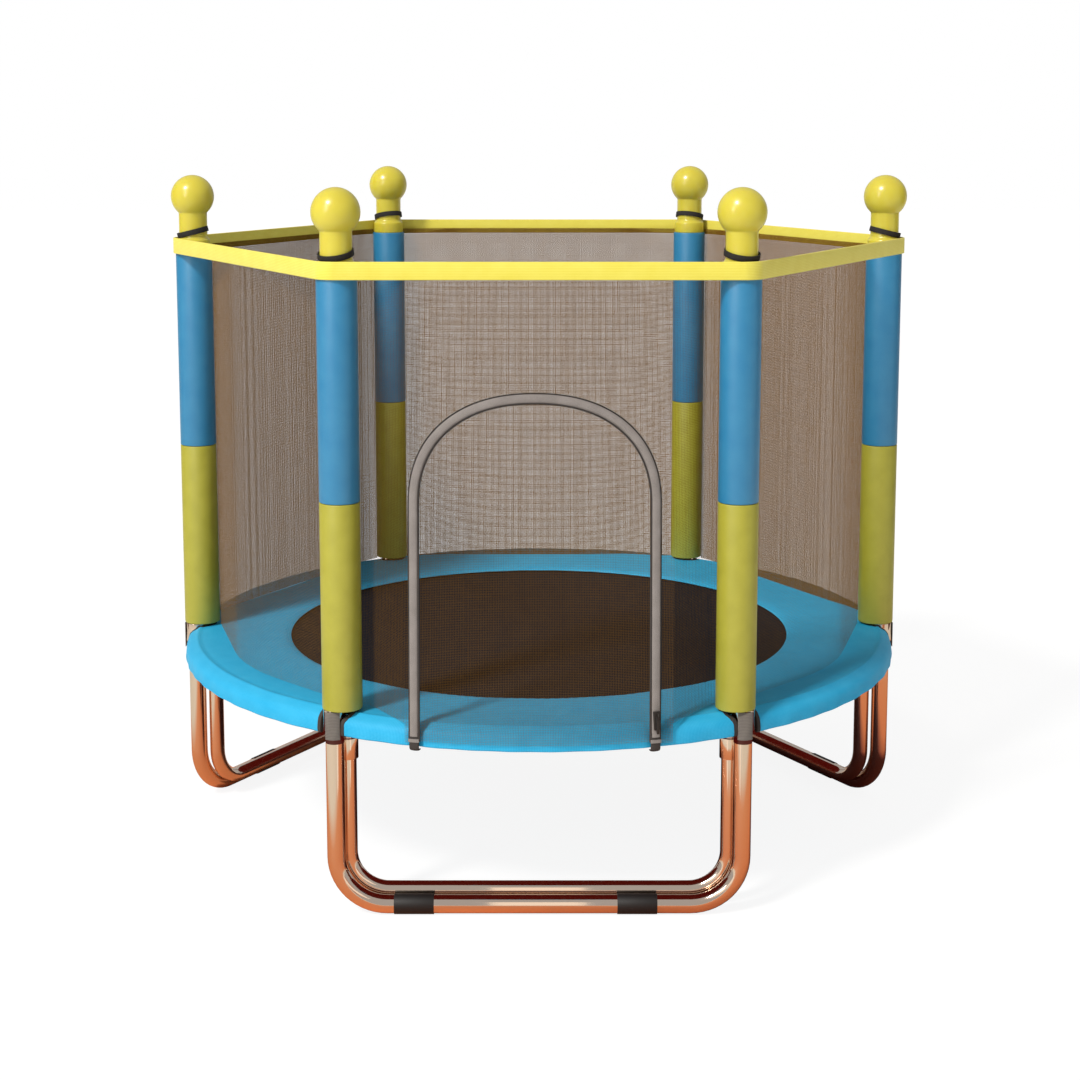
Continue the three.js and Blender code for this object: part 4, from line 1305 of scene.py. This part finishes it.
NOTCH = 0.0192
BINDING, BINDING_THICK = 0.0045, 0.0009
binding = copy_turned(pad, "notch_binding")
wide = keyholes("wide_keys", NOTCH + BINDING)
narrow = keyholes("narrow_keys", NOTCH)
shape(pad, "BOOLEAN", operation="DIFFERENCE", object=narrow, solver="EXACT")
shape(binding, "BOOLEAN", operation="INTERSECT", object=wide, solver="EXACT")
shape(binding, "BOOLEAN", operation="DIFFERENCE", object=narrow, solver="EXACT")
shape(binding, "DISPLACE", strength=BINDING_THICK, mid_level=0.0)
bpy.data.objects.remove(wide)
bpy.data.objects.remove(narrow)
smooth(pad)
smooth(binding)
print("pad cut,", len(pad.data.polygons), "faces; binding", len(binding.data.polygons))

# %% [markdown]
# ## Coated cloth
#
# The pad's cover is a coated Oxford cloth: thick and thin threads make small rows of bumps about
# 2 mm apart, and the coating gives a soft gloss. The cloth was cut flat and sewn into a ring, so
# the UV map runs round the pad and from its inner edge to its skirt.

# %% Pad cloth
PAD_MIDDLE = 0.52
pad_cloth = woven("sky_blue_coated_oxford_cloth", ("#1a9ccc", "#42b6e0"), 0.0032, 0.5, 0.00035,
                  shine=0.2)
for thing in (pad, binding):
    wrap_uv(thing, PAD_MIDDLE, height=lambda at: at.xy.length - at.z)
dress(pad, pad_cloth, "pad_vinyl", "ring_pad")
dress(binding, dark_hem, "pad_vinyl")
print("pad dressed")

# %% [markdown]
# ## Webbing ties
#
# Under each sleeve a short grey strap comes down over the post's cup and ties the pad to it. It
# is a band round the cup, of which only the part that faces outwards is kept.

# %% Ties
TIE_RADIUS, TIE_THICK = 0.0186, 0.0013
TIE_FOOT, TIE_LENGTH = 0.2765, 0.0425
TIE_FACING = math.radians(5)  # outwards from straight ahead
TIE_EDGE = 0.82  # the cosine of half the angle that it covers
tie_grey = woven("grey_webbing", ("#57504b", "#857c74"), 0.0018, 0.8, 0.0003, warp=0.5)


def tie(side):
    arm = Vector((side * OUTER_LEG["half"], -OUTER_LEG["plane"], 0))
    outward = Vector((math.sin(TIE_FACING * side), -math.cos(TIE_FACING * side), 0))
    made = begin(
        "tie", bpy.ops.mesh.primitive_circle_add, vertices=72, radius=TIE_RADIUS,
        location=(*arm.xy, TIE_FOOT),
    )
    edit(made)
    pull_out(0, 0, TIE_LENGTH)
    pick("FACE", lambda at, normal: (at.xy - arm.xy).normalized().dot(outward.xy) < TIE_EDGE)
    bpy.ops.mesh.delete(type="FACE")
    finish_edit()
    shape(made, "SOLIDIFY", thickness=TIE_THICK, offset=1)
    round_edges(made, 0.0005)
    smooth(made)
    wrap_uv(made, SLEEVE_RADIUS, arm)
    return made


at_each_post(tie, "webbing_tie", tie_grey, "zip_tape_grey")
print("six ties")

# %% [markdown]
# ## Floor and cards
#
# The picture is a cut-out on white. The floor is a large plain plane that camera rays see as
# nearly white, apart from the trampoline's shadow. A mirror shows what is round it, and in the
# photograph the plated tubes mirror a warm room: brown near by, beige farther out, and dark at
# the sides. The floor's colours for mirror rays and five glowing cards, which only those rays see,
# stand in for that room, as a product photographer's cards do: they are painted reflections. For
# mirror rays the floor's dark red-brown middle is painted shadow, the floor in the trampoline's
# shade, and a dark red card under the ring is painted shade below the trampoline. A white strip in
# front is a painted highlight.

# %% Stage
def card(name, place, size, turn, colour):
    """A flat glowing card that only mirror reflections see: a painted reflection."""
    made = begin(name, bpy.ops.mesh.primitive_plane_add, size=1)
    made.location, made.rotation_euler, made.scale = place, turn, (*size, 1)
    paint, tree, shader = new_material(name)
    put(tree, shader, Base_Color=(0, 0, 0, 1), Roughness=1.0, Emission_Color=linear(colour),
        Emission_Strength=1.0)
    made.data.materials.append(paint)
    made.visible_camera = made.visible_diffuse = False
    made.visible_shadow = made.visible_transmission = False


def upright_card(degrees):
    return math.pi / 2, 0, math.radians(degrees)


# Painted dark reflections: two dark glowing cards at the sides that the tubes' edges mirror.
card("painted_dark_reflection_right", (2.6, 0.6, 0.8), (2.0, 3.0), upright_card(75), "#4a1c10")
card("painted_dark_reflection_left", (-2.6, 0.9, 0.8), (1.6, 3.0), upright_card(-70), "#5a2818")
# Painted shade: a dark red glowing card under the ring that the tubes mirror as the shade below.
card("painted_shade_reflection_below", (0, 0, 0.268), (1.17, 1.17), (0, 0, 0), "#4a0c08")
# Painted highlight: a white glowing strip that gives the front legs a thin bright line.
card("painted_highlight_strip_front", (0, -0.95, 0.2), (0.16, 0.36), upright_card(0), "#fff4e6")
# Painted reflection: a warm glowing card in front that the tubes mirror.
card("painted_warm_reflection_front", (1.5, -3.2, 0.5), (1.6, 1.4), upright_card(25), "#b07050")

# The middle of the painted shadow that mirror rays see on the floor, off centre where the
# trampoline's shade falls.
PAINTED_SHADE_MIDDLE = (0.25, 0.1, 0)
ZONES_REACH = 2.0  # metres
floor = begin("floor", bpy.ops.mesh.primitive_plane_add, size=40)
white, tree, shader = new_material("white_floor_paint_with_painted_reflections")
rays = add(tree, "ShaderNodeLightPath").outputs
place = add(tree, "ShaderNodeTexCoord").outputs["Object"]
# Mirror rays see painted reflection: a dark red-brown painted shadow round the middle, orange round
# that, then beige; other rays see white.
far = add(tree, "ShaderNodeVectorMath", {"operation": "DISTANCE"}, _0=place, _1=PAINTED_SHADE_MIDDLE)
zones = add(tree, "ShaderNodeMapRange", Value=far.outputs["Value"], From_Max=ZONES_REACH)
painted_mirror_colours = add(tree, "ShaderNodeValToRGB", Fac=zones.outputs["Result"])
ramp = painted_mirror_colours.color_ramp.elements
ramp[0].position, ramp[0].color = 0.25, linear("#6e2a18")
ramp[1].position, ramp[1].color = 0.64, linear("#d2cdc0")
ramp.new(0.35).color = linear("#cf7c4c")
ramp.new(0.55).color = linear("#d08a5c")
paint = add(tree, "ShaderNodeMix", {"data_type": "RGBA"}, _0=rays["Is Glossy Ray"],
            _6=linear("#f2f2f2"), _7=painted_mirror_colours.outputs["Color"])
put(tree, shader, Base_Color=paint.outputs[2], Roughness=0.9)
mostly = add(tree, "ShaderNodeMath", {"operation": "MULTIPLY"}, _0=rays["Is Camera Ray"], _1=0.85)
glow = add(tree, "ShaderNodeEmission", Color=(1, 1, 1, 1), Strength=1.05)
both = add(tree, "ShaderNodeMixShader", _0=mostly.outputs["Value"], _1=shader.outputs["BSDF"],
           _2=glow.outputs["Emission"])
tree.links.new(both.outputs["Shader"], tree.nodes["Material Output"].inputs["Surface"])
floor.data.materials.append(white)
print("floor and five cards")

# %% [markdown]
# ## Lamps and sky
#
# The main lamp is a soft sun from the front left, as the shadows on the pad show. A softbox on
# the same side gives the round forms their long highlights, and an even sky fills the rest.

# %% Lamps and sky
sun = bpy.data.objects.new("soft_sun", bpy.data.lights.new("soft_sun", "SUN"))
sun.data.energy = 2.8
sun.data.angle = math.radians(9)
sun.data.color = (1.0, 0.97, 0.92)
sun.rotation_euler = Vector((0.62, 0.72, -0.95)).to_track_quat("-Z", "Y").to_euler()
bpy.context.scene.collection.objects.link(sun)

box = bpy.data.objects.new("softbox", bpy.data.lights.new("softbox", "AREA"))
box.data.shape = "RECTANGLE"
box.data.size, box.data.size_y = 0.7, 1.6
box.data.energy = 22
box.location = (-2.1, -2.6, 1.9)
box.rotation_euler = (Vector((0, 0, 0.6)) - box.location).to_track_quat("-Z", "Y").to_euler()
bpy.context.scene.collection.objects.link(box)

sky = bpy.data.worlds.new("sky")
bpy.context.scene.world = sky
sky.use_nodes = True
tree = sky.node_tree
fill = add(tree, "ShaderNodeBackground", Color=(1, 1, 1, 1), Strength=0.42)
backdrop = add(tree, "ShaderNodeBackground", Color=(1, 1, 1, 1), Strength=1.0)
ray = add(tree, "ShaderNodeLightPath").outputs["Is Camera Ray"]
sight = add(tree, "ShaderNodeMixShader", _0=ray, _1=fill.outputs["Background"],
            _2=backdrop.outputs["Background"])
tree.links.new(sight.outputs["Shader"], tree.nodes["World Output"].inputs["Surface"])
print("lamps and sky")
